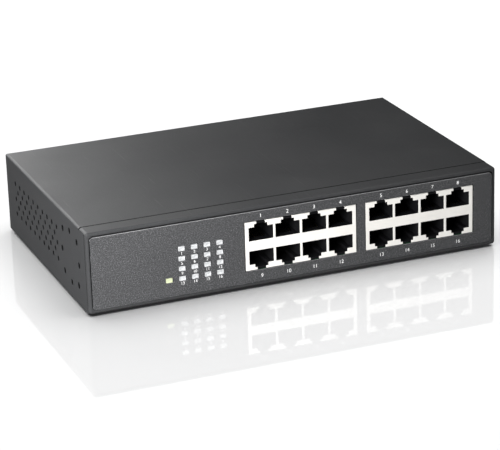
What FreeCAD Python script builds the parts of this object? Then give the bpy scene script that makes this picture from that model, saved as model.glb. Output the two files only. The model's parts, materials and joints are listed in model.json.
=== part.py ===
import FreeCAD, Part
import math
import os
import re

import Sketcher

# Desktop network switch: a case of folded steel with two blocks of stacked jacks and a
# field of lamps at the front, and a mains inlet at the rear.
# X runs to the right, Y from the front to the back, Z up from the desk.

DIMENSIONS = {
    # case
    "width": 215.0,            # over the two side walls
    "depth": 133.0,            # front face to the rear face of the cover
    "tall": 42.0,              # desk to the top of the cover
    "foot_gap": 1.0,           # desk to the underside of the base
    "sheet": 1.0,              # steel thickness
    "bend": 1.3,               # outer radius of a fold
    "corner": 1.6,             # outer radius at the corners of the front
    "fit": 0.05,               # clearance between sheets that slide together
    "seam": 0.4,               # open joint between cover and front
    "side_return": 2.0,        # depth of the front's folded sides
    "flange": 9.5,             # depth of the front's folded top
    "tongue": 6.0,             # length that laps under the cover
    "tongue_inset": 3.0,       # tongue end to the inside of a side wall
    "rear_lip": 9.0,           # height of the cover's folded rear edge
    "lip_relief": 1.5,         # gap beside each end of the rear lip
    "side_flange": 8.0,        # height of the folds along the base
    "lip_screw_span": 92.0,    # middle rear screw to an outer one
    "lip_screw_drop": 4.5,     # rear screws below the top sheet
    "lip_hole": 1.7,           # radius
    # side walls
    "side_rise": 1.0,          # hole fields above the middle of the case
    "vent_hole": 1.25,         # radius
    "vent_row": 4.09,          # row to row
    "vent_start": 15.5,        # rear edge to the first vent
    "vent_end": 46.76,         # front face to the last vent
    "bracket_back": 25.5,      # front face to the middle of the bracket holes
    "bracket_span": 22.0,      # side of the square of four holes
    "bracket_reach": 13.2,     # middle to each of the other four holes
    "bracket_hole": 1.6,       # radius
    "bracket_small": 1.6,      # radius
    "ear_hole": 1.25,          # radius, tapped
    "ear_rim": 3.0,            # metal beyond the outermost ear hole
    # front film
    "film": 0.4,               # thickness, and depth of its recess
    "film_edge": 1.6,          # metal left showing around the film
    "film_corner": 2.2,        # radius of the recess
    "film_gap": 0.25,          # groove round the film
    # jacks
    "jack_wide": 58.4,
    "jack_tall": 24.7,
    "jack_deep": 25.0,
    "jack_set": 0.1,           # behind the front face
    "jack_margin": 12.7,       # right block to the right side wall
    "jack_gap": 5.3,           # between the blocks
    "jack_clear": 0.35,        # cut-out around a block
    "skin": 0.3,               # shield thickness
    "port_pitch": 13.97,
    "port_wide": 12.0,
    "port_high": 7.0,
    "port_out": 2.8,           # block edge to the main opening
    "port_deep": 13.5,
    "notch_wide": 7.0,
    "notch_rise": 1.6,
    "latch_wide": 4.6,
    "latch_slot": 3.0,         # length of the slot in the shield's top
    "contact_pitch": 1.02,
    "contact_wide": 0.45,
    "contact_thick": 0.35,
    "contact_rise": 2.0,       # height at the back of the port
    "contact_start": 4.6,      # from the block's face
    # lamps
    "lamp_wide": 3.2,
    "lamp_tall": 2.2,
    "lamp_clear": 0.2,         # window around a lamp
    "lamp_pitch": 6.485,       # column to column
    "lamp_rise": 5.08,         # row to row
    "lamp_lift": 2.03,         # board to the middle of the lowest lamp
    "lamp_gap": 13.3,          # last column to the left block
    "power_gap": 6.8,          # power lamp to the first column
    "lamp_deep": 8.0,          # holder depth
    "lamp_wall": 0.9,          # holder material beside a lamp
    # boards
    "standoff": 5.9,
    "standoff_round": 2.9,     # radius over its corners
    "board_thick": 1.6,
    "board_inset": 0.5,        # board to the inside of the front
    "board_side": 5.0,         # board to the right side wall
    "power_edge": 5.5,         # power lamp to the board's left edge
    "board_gap": 4.5,          # main board to supply board
    "supply_wide": 100.0,
    "supply_deep": 34.0,
    "supply_back": 3.0,        # supply board to the rear wall
    "supply_left": 5.0,        # supply board to the inlet body
    "hole_inset": 4.0,         # board edge to a screw
    "front_inset": 24.0,       # board front edge to the front screws
    "insulator": 0.4,
    # screws
    "screw_round": 1.5,        # radius of the thread
    "screw_long": 5.0,
    "screw_head": 2.8,         # radius
    "screw_head_tall": 1.3,
    "screw_crown": 2.1,        # radius at the top of the head
    # mains inlet
    "inlet_side": 27.5,        # left side wall to the inlet's middle
    "inlet_drop": 2.0,         # below the middle of the case
    "inlet_span": 20.0,        # inlet middle to a screw
    "inlet_wide": 27.2,
    "inlet_tall": 20.2,
    "inlet_flange_wide": 50.0,
    "inlet_flange_tall": 22.6,
    "inlet_flange_end": 11.0,  # height of its narrow ends
    "inlet_flange": 1.8,       # thickness
    "inlet_deep": 20.0,        # behind the rear wall
    "inlet_clear": 0.3,
    "socket_wide": 24.4,
    "socket_tall": 16.8,
    "socket_deep": 15.5,
    "socket_bevel": 4.5,
    "pin_wide": 2.0,
    "pin_tall": 4.0,
    "pin_recess": 3.5,         # inlet face to a pin's tip
    "pin_span": 7.0,           # middle to the live or neutral pin
    "pin_rise": 2.0,           # earth pin up, the others down
    "tab_thick": 0.8,
    "tab_long": 8.0,
    # rear wall and base
    "ground_side": 60.0,       # left side wall to the ground screw
    "washer": 0.5,
    "washer_round": 3.6,
    "lock_side": 20.0,         # right side wall to the lock slot
    "lock_wide": 7.0,
    "lock_tall": 3.0,
    "foot_round": 6.0,         # radius
    "foot_side": 15.0,         # side wall to a foot's middle
    "foot_end": 14.0,          # front or rear face to a foot's middle
    "foot_dent": 0.5,          # depth of the stamped seat
    "foot_clear": 0.3,
    "keyhole_span": 100.0,
    "keyhole_round": 4.3,
    "keyhole_slot": 2.1,       # half width
    "keyhole_long": 8.0,
    # parts on the main board
    "magnetic_wide": 12.5,
    "magnetic_deep": 14.0,
    "magnetic_tall": 5.5,
    "magnetic_back": 3.0,      # behind the jacks
    "phy_side": 14.0,
    "phy_tall": 1.4,
    "phy_back": 5.0,           # behind the magnetics
    "chip_side": 24.0,
    "chip_tall": 2.0,
    "sink_side": 32.0,
    "sink_base": 2.5,
    "sink_tall": 11.0,
    "sink_fin": 1.2,
    "sink_pitch": 3.85,
    "sink_back": 4.5,          # behind the magnetics
    "lead_foot": 0.25,         # thickness of a chip's leads
    "lead_reach": 1.2,         # leads beyond the chip's body
    "small_back": 3.0,         # chips to the row of small parts behind them
    "coil_gap": 14.0,          # heatsink to the coil's middle
    "crystal_wide": 11.0,
    "crystal_deep": 4.7,
    "crystal_tall": 3.5,
    "coil_side": 10.0,
    "coil_tall": 4.5,
    "flash_wide": 5.0,
    "flash_deep": 4.0,
    "flash_tall": 1.8,
    "filter_round": 3.15,
    "filter_tall": 8.0,
    "filter_pitch": 9.0,
    "header_tall": 8.0,
    "header_side": 8.0,
    "socket_side": 7.0,
    "socket_thin": 6.0,
    "socket_gap": 2.0,         # heatsink to the board's power socket
    "socket_back": 3.0,        # board's rear edge to that socket
    # parts on the supply board
    "fuse_wide": 8.5,
    "fuse_deep": 4.0,
    "fuse_tall": 8.0,
    "choke_round": 6.0,
    "choke_wire": 2.4,
    "choke_back": 0.7,         # choke to the board's rear edge
    "bulk_round": 7.5,
    "bulk_tall": 22.0,
    "core_wide": 24.0,
    "core_deep": 20.0,
    "core_tall": 18.0,
    "core_leg": 4.0,
    "fin_thick": 2.0,
    "fin_deep": 26.0,
    "fin_tall": 22.0,
    "transistor_wide": 10.0,
    "transistor_thick": 4.4,
    "transistor_tall": 15.0,
    "output_round": 4.0,
    "output_tall": 12.0,
    "output_pitch": 10.0,
    # leads inside the case
    "wire": 0.9,               # radius
    "wire_pitch": 4.0,         # mains leads at their header
    "neutral_out": 11.0,       # straight back from its tab
    "neutral_in": 12.0,        # straight into the header
    "neutral_side": 12.0,      # tab to the middle of its bend
    "neutral_ahead": 20.0,
    "live_out": 14.0,
    "live_in": 15.0,
    "live_side": 21.0,
    "live_ahead": 26.0,
    "mains_dip": 2.0,          # both sink toward the board
    "earth_out": 11.0,
    "earth_drop": 12.0,        # straight down onto its terminal
    "earth_side": 10.5,
    "earth_ahead": 15.0,
    "earth_climb": 6.5,
    "thin_wire": 0.75,         # radius of a supply lead
    "thin_pitch": 2.5,
    "thin_out": 6.0,           # straight from the supply's socket
    "thin_in": 8.5,            # straight into the board's socket
    "thin_ahead": 5.0,
    "thin_climb": 0.6,
    "stud_side": 9.5,          # left side wall to the earth terminal
    "stud_back": 42.5,         # rear face to the earth terminal
    "stud_tall": 11.0,         # over the base
    "plate_wide": 4.0,         # foot of the terminal
    "blade_deep": 6.0,
    "sleeve_wide": 3.2,
    "sleeve_deep": 8.0,
}

PORTS_ACROSS = 4
CONTACTS = 8
LAMP_COLUMNS = 4
LAMP_ROWS = 4
VENT_COLUMNS = 10
SINK_FINS = 8
WIRE_SIDES = 12
THIN_SHARE = 0.35          # of the way between the sockets, to the supply leads' middle bend

doc = FreeCAD.newDocument("network_switch")
sizes = doc.addObject("Spreadsheet::Sheet", "Sizes")


def fill_sheet():
    for row, (name, number) in enumerate(DIMENSIONS.items(), 1):
        sizes.set(f"A{row}", name)
        sizes.set(f"B{row}", str(number))
        sizes.setAlias(f"B{row}", name)
    doc.recompute()


WORD = re.compile(r"[A-Za-z_]\w*")


def on_sheet(found):
    name = found.group()
    return "Sizes." + name if name in DIMENSIONS else name


def linked(text):
    """The expression with each size's name pointed at the sheet."""
    return WORD.sub(on_sheet, str(text))


def value(text):
    return float(sizes.evalExpression(linked(text)))


def bind(item, **links):
    for name, text in links.items():
        item.setExpression(name.replace("__", "."), linked(text))


def place(item, corner):
    bind(item, Placement__Base__x=corner[0], Placement__Base__y=corner[1], Placement__Base__z=corner[2])


# Places that several pieces share, as expressions on the sheet.
FRONT = "(-depth / 2)"
BACK = "(depth / 2)"
SIDE = "(width / 2)"
INNER_SIDE = "(width / 2 - sheet - fit)"
FLOOR = "(foot_gap + sheet)"
CEILING = "(tall - sheet)"
REAR_OUT = "(depth / 2 - sheet - fit)"
REAR_IN = "(depth / 2 - 2 * sheet - fit)"
SIDE_MID = "(tall / 2 + side_rise)"
BRACKET_Y = "(bracket_back - depth / 2)"
VENT_PITCH = f"((depth - vent_start - vent_end) / {VENT_COLUMNS - 1})"
BOARD_LOW = "(foot_gap + sheet + standoff)"
BOARD_TOP = "(foot_gap + sheet + standoff + board_thick)"

JACK_RIGHT = "(width / 2 - jack_margin - jack_wide / 2)"
JACK_LEFT = "(width / 2 - jack_margin - jack_wide * 1.5 - jack_gap)"
JACK_FACE = "(jack_set - depth / 2)"
JACK_BACK = "(jack_set + jack_deep - depth / 2)"
JACK_CENTRES = {"left": JACK_LEFT, "right": JACK_RIGHT}

LAST_LAMP = f"({JACK_LEFT} - jack_wide / 2 - lamp_gap)"
POWER_X = f"({LAST_LAMP} - {LAMP_COLUMNS - 1} * lamp_pitch - power_gap)"
LAMP_LOW = f"({BOARD_TOP} + lamp_lift)"

MAIN_LEFT = f"({POWER_X} - power_edge)"
MAIN_RIGHT = "(width / 2 - board_side)"
MAIN_FRONT = "(sheet + board_inset - depth / 2)"
SUPPLY_BACK = f"({REAR_IN} - supply_back)"
SUPPLY_FRONT = f"({SUPPLY_BACK} - supply_deep)"
MAIN_BACK = f"({SUPPLY_FRONT} - board_gap)"
INLET_X = "(inlet_side - width / 2)"
INLET_Z = "(tall / 2 + foot_gap / 2 - inlet_drop)"
SUPPLY_LEFT = f"({INLET_X} + inlet_wide / 2 + supply_left)"
SUPPLY_RIGHT = f"({SUPPLY_LEFT} + supply_wide)"
TAB_END = f"({REAR_OUT} - inlet_deep - tab_long)"
CORE_X = f"(({JACK_LEFT} + {JACK_RIGHT}) / 2)"
MAGNETIC_BACK = f"({JACK_BACK} + magnetic_back + magnetic_deep)"


def lamp_x(column):
    return f"({LAST_LAMP} - {LAMP_COLUMNS - 1 - column} * lamp_pitch)"


def lamp_z(row):
    return f"({LAMP_LOW} + {row} * lamp_rise)"


def port_x(block, column):
    return f"({JACK_CENTRES[block]} + {column - (PORTS_ACROSS - 1) / 2} * port_pitch)"


# Sketches and features


def origin_part(body, role):
    return next(item for item in body.Origin.OriginFeatures if item.Role == role)


def new_body(label):
    body = doc.addObject("PartDesign::Body", label)
    body.Label = label
    return body


def sketch_on(body, role, offset="0 * sheet"):
    sketch = body.newObject("Sketcher::SketchObject", body.Label + "_sketch")
    sketch.AttachmentSupport = [(origin_part(body, role), "")]
    sketch.MapMode = "FlatFace"
    bind(sketch, AttachmentOffset__Base__z=offset)
    return sketch


def fix_point(sketch, piece, point, place_uv):
    for kind, text in zip(("DistanceX", "DistanceY"), place_uv):
        rule = Sketcher.Constraint(kind, -1, 1, piece, point, value(text))
        number = sketch.addConstraint(rule)
        sketch.setExpression(f"Constraints[{number}]", linked(text))


def draw_polygon(sketch, corners):
    first = sketch.GeometryCount
    points = [FreeCAD.Vector(value(u), value(v), 0) for u, v in corners]
    count = len(points)
    for here in range(count):
        sketch.addGeometry(Part.LineSegment(points[here], points[(here + 1) % count]), False)
    for here in range(count):
        following = first + (here + 1) % count
        sketch.addConstraint(Sketcher.Constraint("Coincident", first + here, 2, following, 1))
    for here, corner in enumerate(corners):
        fix_point(sketch, first + here, 1, corner)


def draw_rectangle(sketch, left, low, right, high):
    draw_polygon(sketch, [(left, low), (right, low), (right, high), (left, high)])


def draw_circle(sketch, u, v, radius):
    centre = FreeCAD.Vector(value(u), value(v), 0)
    piece = sketch.addGeometry(Part.Circle(centre, FreeCAD.Vector(0, 0, 1), value(radius)), False)
    fix_point(sketch, piece, 3, (u, v))
    number = sketch.addConstraint(Sketcher.Constraint("Radius", piece, value(radius)))
    sketch.setExpression(f"Constraints[{number}]", linked(radius))


NORMALS = {"XY_Plane": "+z", "XZ_Plane": "-y", "YZ_Plane": "+x"}


def feature(body, kind, sketch, length, toward):
    """A pad or pocket that runs toward +x, -y and so on, or both ways where toward is 'both'."""
    item = body.newObject("PartDesign::" + kind, body.Label + "_" + kind.lower())
    item.Profile = sketch
    bind(item, Length=length)
    if toward == "both":
        item.Midplane = True
    else:
        ahead = NORMALS[sketch.AttachmentSupport[0][0].Role] == toward
        item.Reversed = (not ahead) if kind == "Pad" else ahead
    body.Tip = item
    return item


def pad(body, sketch, length, toward):
    return feature(body, "Pad", sketch, length, toward)


def pocket(body, sketch, length, toward):
    return feature(body, "Pocket", sketch, length, toward)


def repeat(body, source, axis, length, count):
    pattern = body.newObject("PartDesign::LinearPattern", body.Label + "_pattern")
    pattern.Originals = [source]
    pattern.Direction = (origin_part(body, axis), [""])
    bind(pattern, Length=length)
    pattern.Occurrences = count
    body.Tip = pattern
    return pattern


def edges_where(item, direction, test):
    """Names of the straight edges along a direction whose middle passes the test."""
    doc.recompute()
    names = []
    for number, edge in enumerate(item.Shape.Edges, 1):
        if len(edge.Vertexes) != 2 or edge.Curve.TypeId != "Part::GeomLine":
            continue
        start, end = (corner.Point for corner in edge.Vertexes)
        along = (end - start).normalize()
        if abs(along.dot(direction)) > 0.999 and test((start + end) / 2):
            names.append(f"Edge{number}")
    return names


def near(one, text):
    return abs(one - value(text)) < 0.01


def round_edges(body, item, names, radius):
    fillet = body.newObject("PartDesign::Fillet", body.Label + "_fillet")
    fillet.Base = (item, names)
    bind(fillet, Radius=radius)
    body.Tip = fillet
    return fillet


ALONG_X = FreeCAD.Vector(1, 0, 0)
ALONG_Y = FreeCAD.Vector(0, 1, 0)


# Primitives


def box(label, corner, size):
    item = doc.addObject("Part::Box", label)
    bind(item, Length=size[0], Width=size[1], Height=size[2])
    place(item, corner)
    return item


def standing_box(label, x, y, low, size):
    corner = (f"{x} - ({size[0]}) / 2", f"{y} - ({size[1]}) / 2", low)
    return box(label, corner, size)


TURNS = {"z": FreeCAD.Rotation(), "y": FreeCAD.Rotation(ALONG_X, -90)}


def rod(label, start, axis, radius, length, end_radius=None):
    kind = "Part::Cylinder" if end_radius is None else "Part::Cone"
    item = doc.addObject(kind, label)
    if end_radius is None:
        bind(item, Radius=radius, Height=length)
    else:
        bind(item, Radius1=radius, Radius2=end_radius, Height=length)
    place(item, start)
    item.Placement.Rotation = TURNS[axis]
    return item


def joined(label, members):
    item = doc.addObject("Part::MultiFuse", label)
    item.Shapes = members
    item.Label = label
    return item


def less(label, base, tools):
    item = doc.addObject("Part::Cut", label)
    item.Base = base
    item.Tool = tools[0] if len(tools) == 1 else joined(label + "_tools", tools)
    item.Label = label
    return item


def group(label, members):
    item = doc.addObject("Part::Compound", label)
    item.Links = members
    item.Label = label
    return item


def screw(label, seat, axis):
    """A pan-head screw: the head stands on the seat and the thread goes in."""
    x, y, z = seat
    start = (x, y, f"{z} - screw_long") if axis == "z" else (x, f"{y} - screw_long", z)
    shank = rod(label + "_shank", start, axis, "screw_round", "screw_long + screw_head_tall / 2")
    head = rod(label + "_head", seat, axis, "screw_head", "screw_head_tall", "screw_crown")
    return joined(label, [shank, head])


# Case


def at_case_corner(p):
    return near(abs(p.x), SIDE) and (near(p.z, "foot_gap") or near(p.z, "tall"))


def at_recess_corner(p):
    return near(abs(p.x), f"{SIDE} - film_edge") and near(p.y, f"{FRONT} + film / 2")


def front_shell(body):
    """The front with its folded sides and top, rounded at every fold."""
    face = sketch_on(body, "XZ_Plane", f"-{FRONT}")
    draw_rectangle(face, f"-{SIDE}", "foot_gap", SIDE, "tall")
    pad(body, face, "side_return", "+y")
    top = sketch_on(body, "XZ_Plane", f"-{FRONT}")
    draw_rectangle(top, f"-{SIDE}", CEILING, SIDE, "tall")
    shell = pad(body, top, "flange", "+y")
    ends = edges_where(shell, ALONG_Y, at_case_corner)
    shell = round_edges(body, shell, ends, "corner")
    doc.recompute()
    rim = []
    for number, edge in enumerate(shell.Shape.Edges, 1):
        if all(near(corner.Point.y, FRONT) for corner in edge.Vertexes):
            rim.append(f"Edge{number}")
    round_edges(body, shell, rim, "bend")
    hollow = sketch_on(body, "XZ_Plane", f"-({FRONT} + side_return)")
    draw_rectangle(hollow, f"sheet - {SIDE}", FLOOR, f"{SIDE} - sheet", CEILING)
    pocket(body, hollow, "side_return - sheet", "-y")


def base_and_rear(body):
    base = sketch_on(body, "XY_Plane", "foot_gap")
    draw_rectangle(base, f"-{INNER_SIDE}", f"{FRONT} + sheet", INNER_SIDE, REAR_OUT)
    pad(body, base, "sheet", "+z")
    rear = sketch_on(body, "XZ_Plane", f"-{REAR_OUT}")
    draw_rectangle(rear, f"-{INNER_SIDE}", "foot_gap", INNER_SIDE, f"{CEILING} - fit")
    wall = pad(body, rear, "sheet", "-y")
    fold = edges_where(wall, ALONG_X, lambda p: near(p.y, REAR_OUT) and near(p.z, "foot_gap"))
    round_edges(body, wall, fold, "bend")


def joggled_tongue(body):
    """The front's top steps down one sheet and laps under the cover."""
    step = sketch_on(body, "YZ_Plane")
    lap_high = f"{CEILING} - fit"
    lap_low = f"{CEILING} - fit - sheet"
    heel = f"{FRONT} + flange"
    draw_polygon(step, [
        (f"{heel} - sheet", lap_low),
        (f"{heel} + tongue", lap_low),
        (f"{heel} + tongue", lap_high),
        (heel, lap_high),
        (heel, CEILING),
        (f"{heel} - sheet", CEILING),
    ])
    pad(body, step, f"2 * ({INNER_SIDE} - tongue_inset)", "both")


def side_folds(body):
    """Low folds along the base, with a tall ear behind the bracket holes on each side."""
    ear_reach = "(bracket_reach + ear_rim)"
    for sign in (-1, 1):
        outer = f"{sign} * {INNER_SIDE}"
        fold = sketch_on(body, "YZ_Plane", outer)
        draw_polygon(fold, [
            (f"{FRONT} + side_return + seam", "foot_gap"),
            (REAR_IN, "foot_gap"),
            (REAR_IN, f"{FLOOR} + side_flange"),
            (f"{BRACKET_Y} + {ear_reach}", f"{FLOOR} + side_flange"),
            (f"{BRACKET_Y} + {ear_reach}", f"{SIDE_MID} + {ear_reach}"),
            (f"{BRACKET_Y} - {ear_reach}", f"{SIDE_MID} + {ear_reach}"),
            (f"{BRACKET_Y} - {ear_reach}", f"{FLOOR} + side_flange"),
            (f"{FRONT} + side_return + seam", f"{FLOOR} + side_flange"),
        ])
        pad(body, fold, "sheet", "-x" if sign > 0 else "+x")


def bracket_places():
    for u, v in ((-1, -1), (1, -1), (1, 1), (-1, 1)):
        yield f"{BRACKET_Y} + {u} * bracket_span / 2", f"{SIDE_MID} + {v} * bracket_span / 2", "bracket_hole"
    for u, v in ((-1, 0), (1, 0), (0, -1), (0, 1)):
        yield f"{BRACKET_Y} + {u} * bracket_reach", f"{SIDE_MID} + {v} * bracket_reach", "bracket_small"


def front_windows(body, depth_text):
    """Cut-outs for both jack blocks and every lamp, from the front face back."""
    jacks = sketch_on(body, "XZ_Plane", f"-{FRONT}")
    for centre in JACK_CENTRES.values():
        half = "(jack_wide / 2 + jack_clear)"
        draw_rectangle(jacks, f"{centre} - {half}", f"{BOARD_TOP} - jack_clear",
                       f"{centre} + {half}", f"{BOARD_TOP} + jack_tall + jack_clear")
    pocket(body, jacks, depth_text, "+y")
    half_wide, half_tall = "(lamp_wide / 2 + lamp_clear)", "(lamp_tall / 2 + lamp_clear)"
    lamps = sketch_on(body, "XZ_Plane", f"-{FRONT}")
    for row in range(LAMP_ROWS):
        draw_rectangle(lamps, f"{lamp_x(0)} - {half_wide}", f"{lamp_z(row)} - {half_tall}",
                       f"{lamp_x(0)} + {half_wide}", f"{lamp_z(row)} + {half_tall}")
    column = pocket(body, lamps, depth_text, "+y")
    repeat(body, column, "X_Axis", f"{LAMP_COLUMNS - 1} * lamp_pitch", LAMP_COLUMNS)
    power = sketch_on(body, "XZ_Plane", f"-{FRONT}")
    draw_rectangle(power, f"{POWER_X} - {half_wide}", f"{LAMP_LOW} - {half_tall}",
                   f"{POWER_X} + {half_wide}", f"{LAMP_LOW} + {half_tall}")
    pocket(body, power, depth_text, "+y")


def film_recess(body):
    recess = sketch_on(body, "XZ_Plane", f"-{FRONT}")
    draw_rectangle(recess, f"film_edge - {SIDE}", "foot_gap + film_edge",
                   f"{SIDE} - film_edge", "tall - film_edge")
    floor = pocket(body, recess, "film", "+y")
    corners = edges_where(floor, ALONG_Y, at_recess_corner)
    round_edges(body, floor, corners, "film_corner")


def rear_cutouts(body):
    holes = sketch_on(body, "XZ_Plane", f"-{REAR_OUT}")
    half_wide, half_tall = "(inlet_wide / 2 + inlet_clear)", "(inlet_tall / 2 + inlet_clear)"
    draw_rectangle(holes, f"{INLET_X} - {half_wide}", f"{INLET_Z} - {half_tall}",
                   f"{INLET_X} + {half_wide}", f"{INLET_Z} + {half_tall}")
    draw_rectangle(holes, f"{SIDE} - lock_side - lock_wide / 2", f"{INLET_Z} - lock_tall / 2",
                   f"{SIDE} - lock_side + lock_wide / 2", f"{INLET_Z} + lock_tall / 2")
    for side in (-1, 1):
        draw_circle(holes, f"{INLET_X} + {side} * inlet_span", INLET_Z, "screw_round + fit")
    draw_circle(holes, f"ground_side - {SIDE}", INLET_Z, "screw_round + fit")
    for step in (-1, 0, 1):
        draw_circle(holes, f"{step} * lip_screw_span", f"{CEILING} - lip_screw_drop", "screw_round + fit")
    pocket(body, holes, "sheet", "-y")


FOOT_PLACES = [
    (f"{across} * ({SIDE} - foot_side)", f"{along} * ({BACK} - foot_end)")
    for across in (-1, 1)
    for along in (-1, 1)
]


def base_details(body):
    """Stamped seats for the feet and two keyholes for hanging the case."""
    bosses = sketch_on(body, "XY_Plane", FLOOR)
    for x, y in FOOT_PLACES:
        draw_circle(bosses, x, y, "foot_round + foot_clear + sheet")
    pad(body, bosses, "foot_dent", "+z")
    seats = sketch_on(body, "XY_Plane", "foot_gap")
    for x, y in FOOT_PLACES:
        draw_circle(seats, x, y, "foot_round + foot_clear")
    pocket(body, seats, "foot_dent", "+z")
    entries = sketch_on(body, "XY_Plane", "foot_gap")
    slots = sketch_on(body, "XY_Plane", "foot_gap")
    ends = sketch_on(body, "XY_Plane", "foot_gap")
    for side in (-1, 1):
        x = f"{side} * keyhole_span / 2"
        draw_circle(entries, x, "0 * sheet", "keyhole_round")
        draw_rectangle(slots, f"{x} - keyhole_slot", "0 * sheet", f"{x} + keyhole_slot", "keyhole_long")
        draw_circle(ends, x, "keyhole_long", "keyhole_slot")
    for sketch in (entries, slots, ends):
        pocket(body, sketch, "sheet", "+z")


def ear_holes(body):
    holes = sketch_on(body, "YZ_Plane")
    for y, z, _ in bracket_places():
        draw_circle(holes, y, z, "ear_hole")
    pocket(body, holes, "width", "both")


def chassis():
    body = new_body("chassis")
    front_shell(body)
    base_and_rear(body)
    joggled_tongue(body)
    side_folds(body)
    ear_holes(body)
    film_recess(body)
    front_windows(body, "side_return")
    rear_cutouts(body)
    base_details(body)
    return body


def cover_shell(body):
    start = "(depth - side_return - seam)"
    face = sketch_on(body, "XZ_Plane", f"-{BACK}")
    draw_rectangle(face, f"-{SIDE}", "foot_gap", SIDE, "tall")
    block = pad(body, face, start, "-y")
    folds = edges_where(block, ALONG_Y, lambda p: near(p.z, "tall"))
    folds += edges_where(block, ALONG_X, lambda p: near(p.z, "tall") and near(p.y, BACK))
    round_edges(body, block, folds, "bend")
    hollow = sketch_on(body, "XZ_Plane", f"-({BACK} - sheet)")
    draw_rectangle(hollow, f"sheet - {SIDE}", "0 * sheet", f"{SIDE} - sheet", CEILING)
    pocket(body, hollow, start, "-y")
    below_lip = sketch_on(body, "XZ_Plane", f"-{BACK}")
    lip_end = f"({SIDE} - sheet - lip_relief)"
    draw_polygon(below_lip, [
        (f"sheet - {SIDE}", "0 * sheet"),
        (f"{SIDE} - sheet", "0 * sheet"),
        (f"{SIDE} - sheet", f"{CEILING} - fit"),
        (lip_end, f"{CEILING} - fit"),
        (lip_end, f"{CEILING} - rear_lip"),
        (f"-{lip_end}", f"{CEILING} - rear_lip"),
        (f"-{lip_end}", f"{CEILING} - fit"),
        (f"sheet - {SIDE}", f"{CEILING} - fit"),
    ])
    pocket(body, below_lip, "sheet", "-y")


def cover_front_edge(body):
    """The top stops behind the front's folded top; the side walls run on under it."""
    step = sketch_on(body, "XZ_Plane", f"-({FRONT} + flange + seam)")
    draw_rectangle(step, f"-{SIDE} - sheet", f"{CEILING} - fit", f"{SIDE} + sheet", "tall + sheet")
    pocket(body, step, "flange", "-y")


def vents(body):
    """A staggered field of round holes through both side walls."""
    for rows, columns, shift in (((-2, 0, 2), VENT_COLUMNS, 0), ((-1, 1), VENT_COLUMNS - 1, 0.5)):
        holes = sketch_on(body, "YZ_Plane")
        for row in rows:
            first = f"{BACK} - vent_start - ({columns - 1} + {shift}) * {VENT_PITCH}"
            draw_circle(holes, first, f"{SIDE_MID} + {row} * vent_row", "vent_hole")
        cut = pocket(body, holes, "width + sheet", "both")
        repeat(body, cut, "Y_Axis", f"{columns - 1} * {VENT_PITCH}", columns)


def cover_holes(body):
    brackets = sketch_on(body, "YZ_Plane")
    for y, z, radius in bracket_places():
        draw_circle(brackets, y, z, radius)
    pocket(body, brackets, "width + sheet", "both")
    lip = sketch_on(body, "XZ_Plane", f"-{BACK}")
    for step in (-1, 0, 1):
        draw_circle(lip, f"{step} * lip_screw_span", f"{CEILING} - lip_screw_drop", "lip_hole")
    pocket(body, lip, "sheet", "-y")


def top_cover():
    body = new_body("top_cover")
    cover_shell(body)
    cover_front_edge(body)
    cover_holes(body)
    vents(body)
    return body


def front_overlay():
    """The thin film in the front's recess, with a groove left all round it."""
    body = new_body("front_overlay")
    margin = "(film_edge + film_gap)"
    face = sketch_on(body, "XZ_Plane", f"-{FRONT}")
    draw_rectangle(face, f"{margin} - {SIDE}", f"foot_gap + {margin}",
                   f"{SIDE} - {margin}", f"tall - {margin}")
    sheet_of_film = pad(body, face, "film", "+y")
    corners = edges_where(sheet_of_film, ALONG_Y, lambda p: True)
    round_edges(body, sheet_of_film, corners, "film_corner - film_gap")
    front_windows(body, "film")
    return body


def rubber_feet():
    feet = []
    for x, y in FOOT_PLACES:
        low = (x, y, "0 * sheet")
        crown = rod("foot_crown", low, "z", "foot_round - foot_dent", "foot_dent", "foot_round")
        pad_part = rod("foot_pad", (x, y, "foot_dent"), "z", "foot_round", "foot_gap")
        feet.append(joined("foot", [crown, pad_part]))
    return group("rubber_feet", feet)


# Jacks


def port_outline(sketch, x, face_low, face_high, with_latch):
    """A stepped jack opening; face_low is its contact side and face_high its latch side."""
    up = f"(({face_high} - {face_low}) / port_high)"
    notch_end = f"{face_high} + {up} * notch_rise"
    steps = [("port_wide", face_low, face_high), ("notch_wide", face_high, notch_end)]
    if with_latch:
        steps.append(("latch_wide", notch_end, f"{face_high} + {up} * (port_out + skin)"))
    right = []
    for wide, near_side, far_side in steps:
        right.append((f"{x} + {wide} / 2", near_side))
        right.append((f"{x} + {wide} / 2", far_side))
    left = [(text.replace(f"{x} + ", f"{x} - ", 1), high) for text, high in reversed(right)]
    draw_polygon(sketch, right + left)


ROWS = {
    "lower": (f"{BOARD_TOP} + port_out + port_high", f"{BOARD_TOP} + port_out"),
    "upper": (f"{BOARD_TOP} + jack_tall - port_out - port_high", f"{BOARD_TOP} + jack_tall - port_out"),
}


def jack_ports(body, block, face_y, length, with_latch):
    for face_low, face_high in ROWS.values():
        port = sketch_on(body, "XZ_Plane", f"-{face_y}")
        port_outline(port, port_x(block, 0), f"({face_low})", f"({face_high})", with_latch)
        cut = pocket(body, port, length, "+y")
        repeat(body, cut, "X_Axis", f"{PORTS_ACROSS - 1} * port_pitch", PORTS_ACROSS)


def jack_shield(block):
    """The plated skin of a block: front, sides, top and back, open below."""
    body = new_body("jack_shield_" + block)
    centre = JACK_CENTRES[block]
    outer = sketch_on(body, "XY_Plane", BOARD_TOP)
    draw_rectangle(outer, f"{centre} - jack_wide / 2", JACK_FACE, f"{centre} + jack_wide / 2", JACK_BACK)
    pad(body, outer, "jack_tall", "+z")
    inner = sketch_on(body, "XY_Plane", BOARD_TOP)
    draw_rectangle(inner, f"{centre} - jack_wide / 2 + skin", f"{JACK_FACE} + skin",
                   f"{centre} + jack_wide / 2 - skin", f"{JACK_BACK} - skin")
    pocket(body, inner, "jack_tall - skin", "+z")
    jack_ports(body, block, JACK_FACE, "latch_slot", True)
    return body


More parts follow.
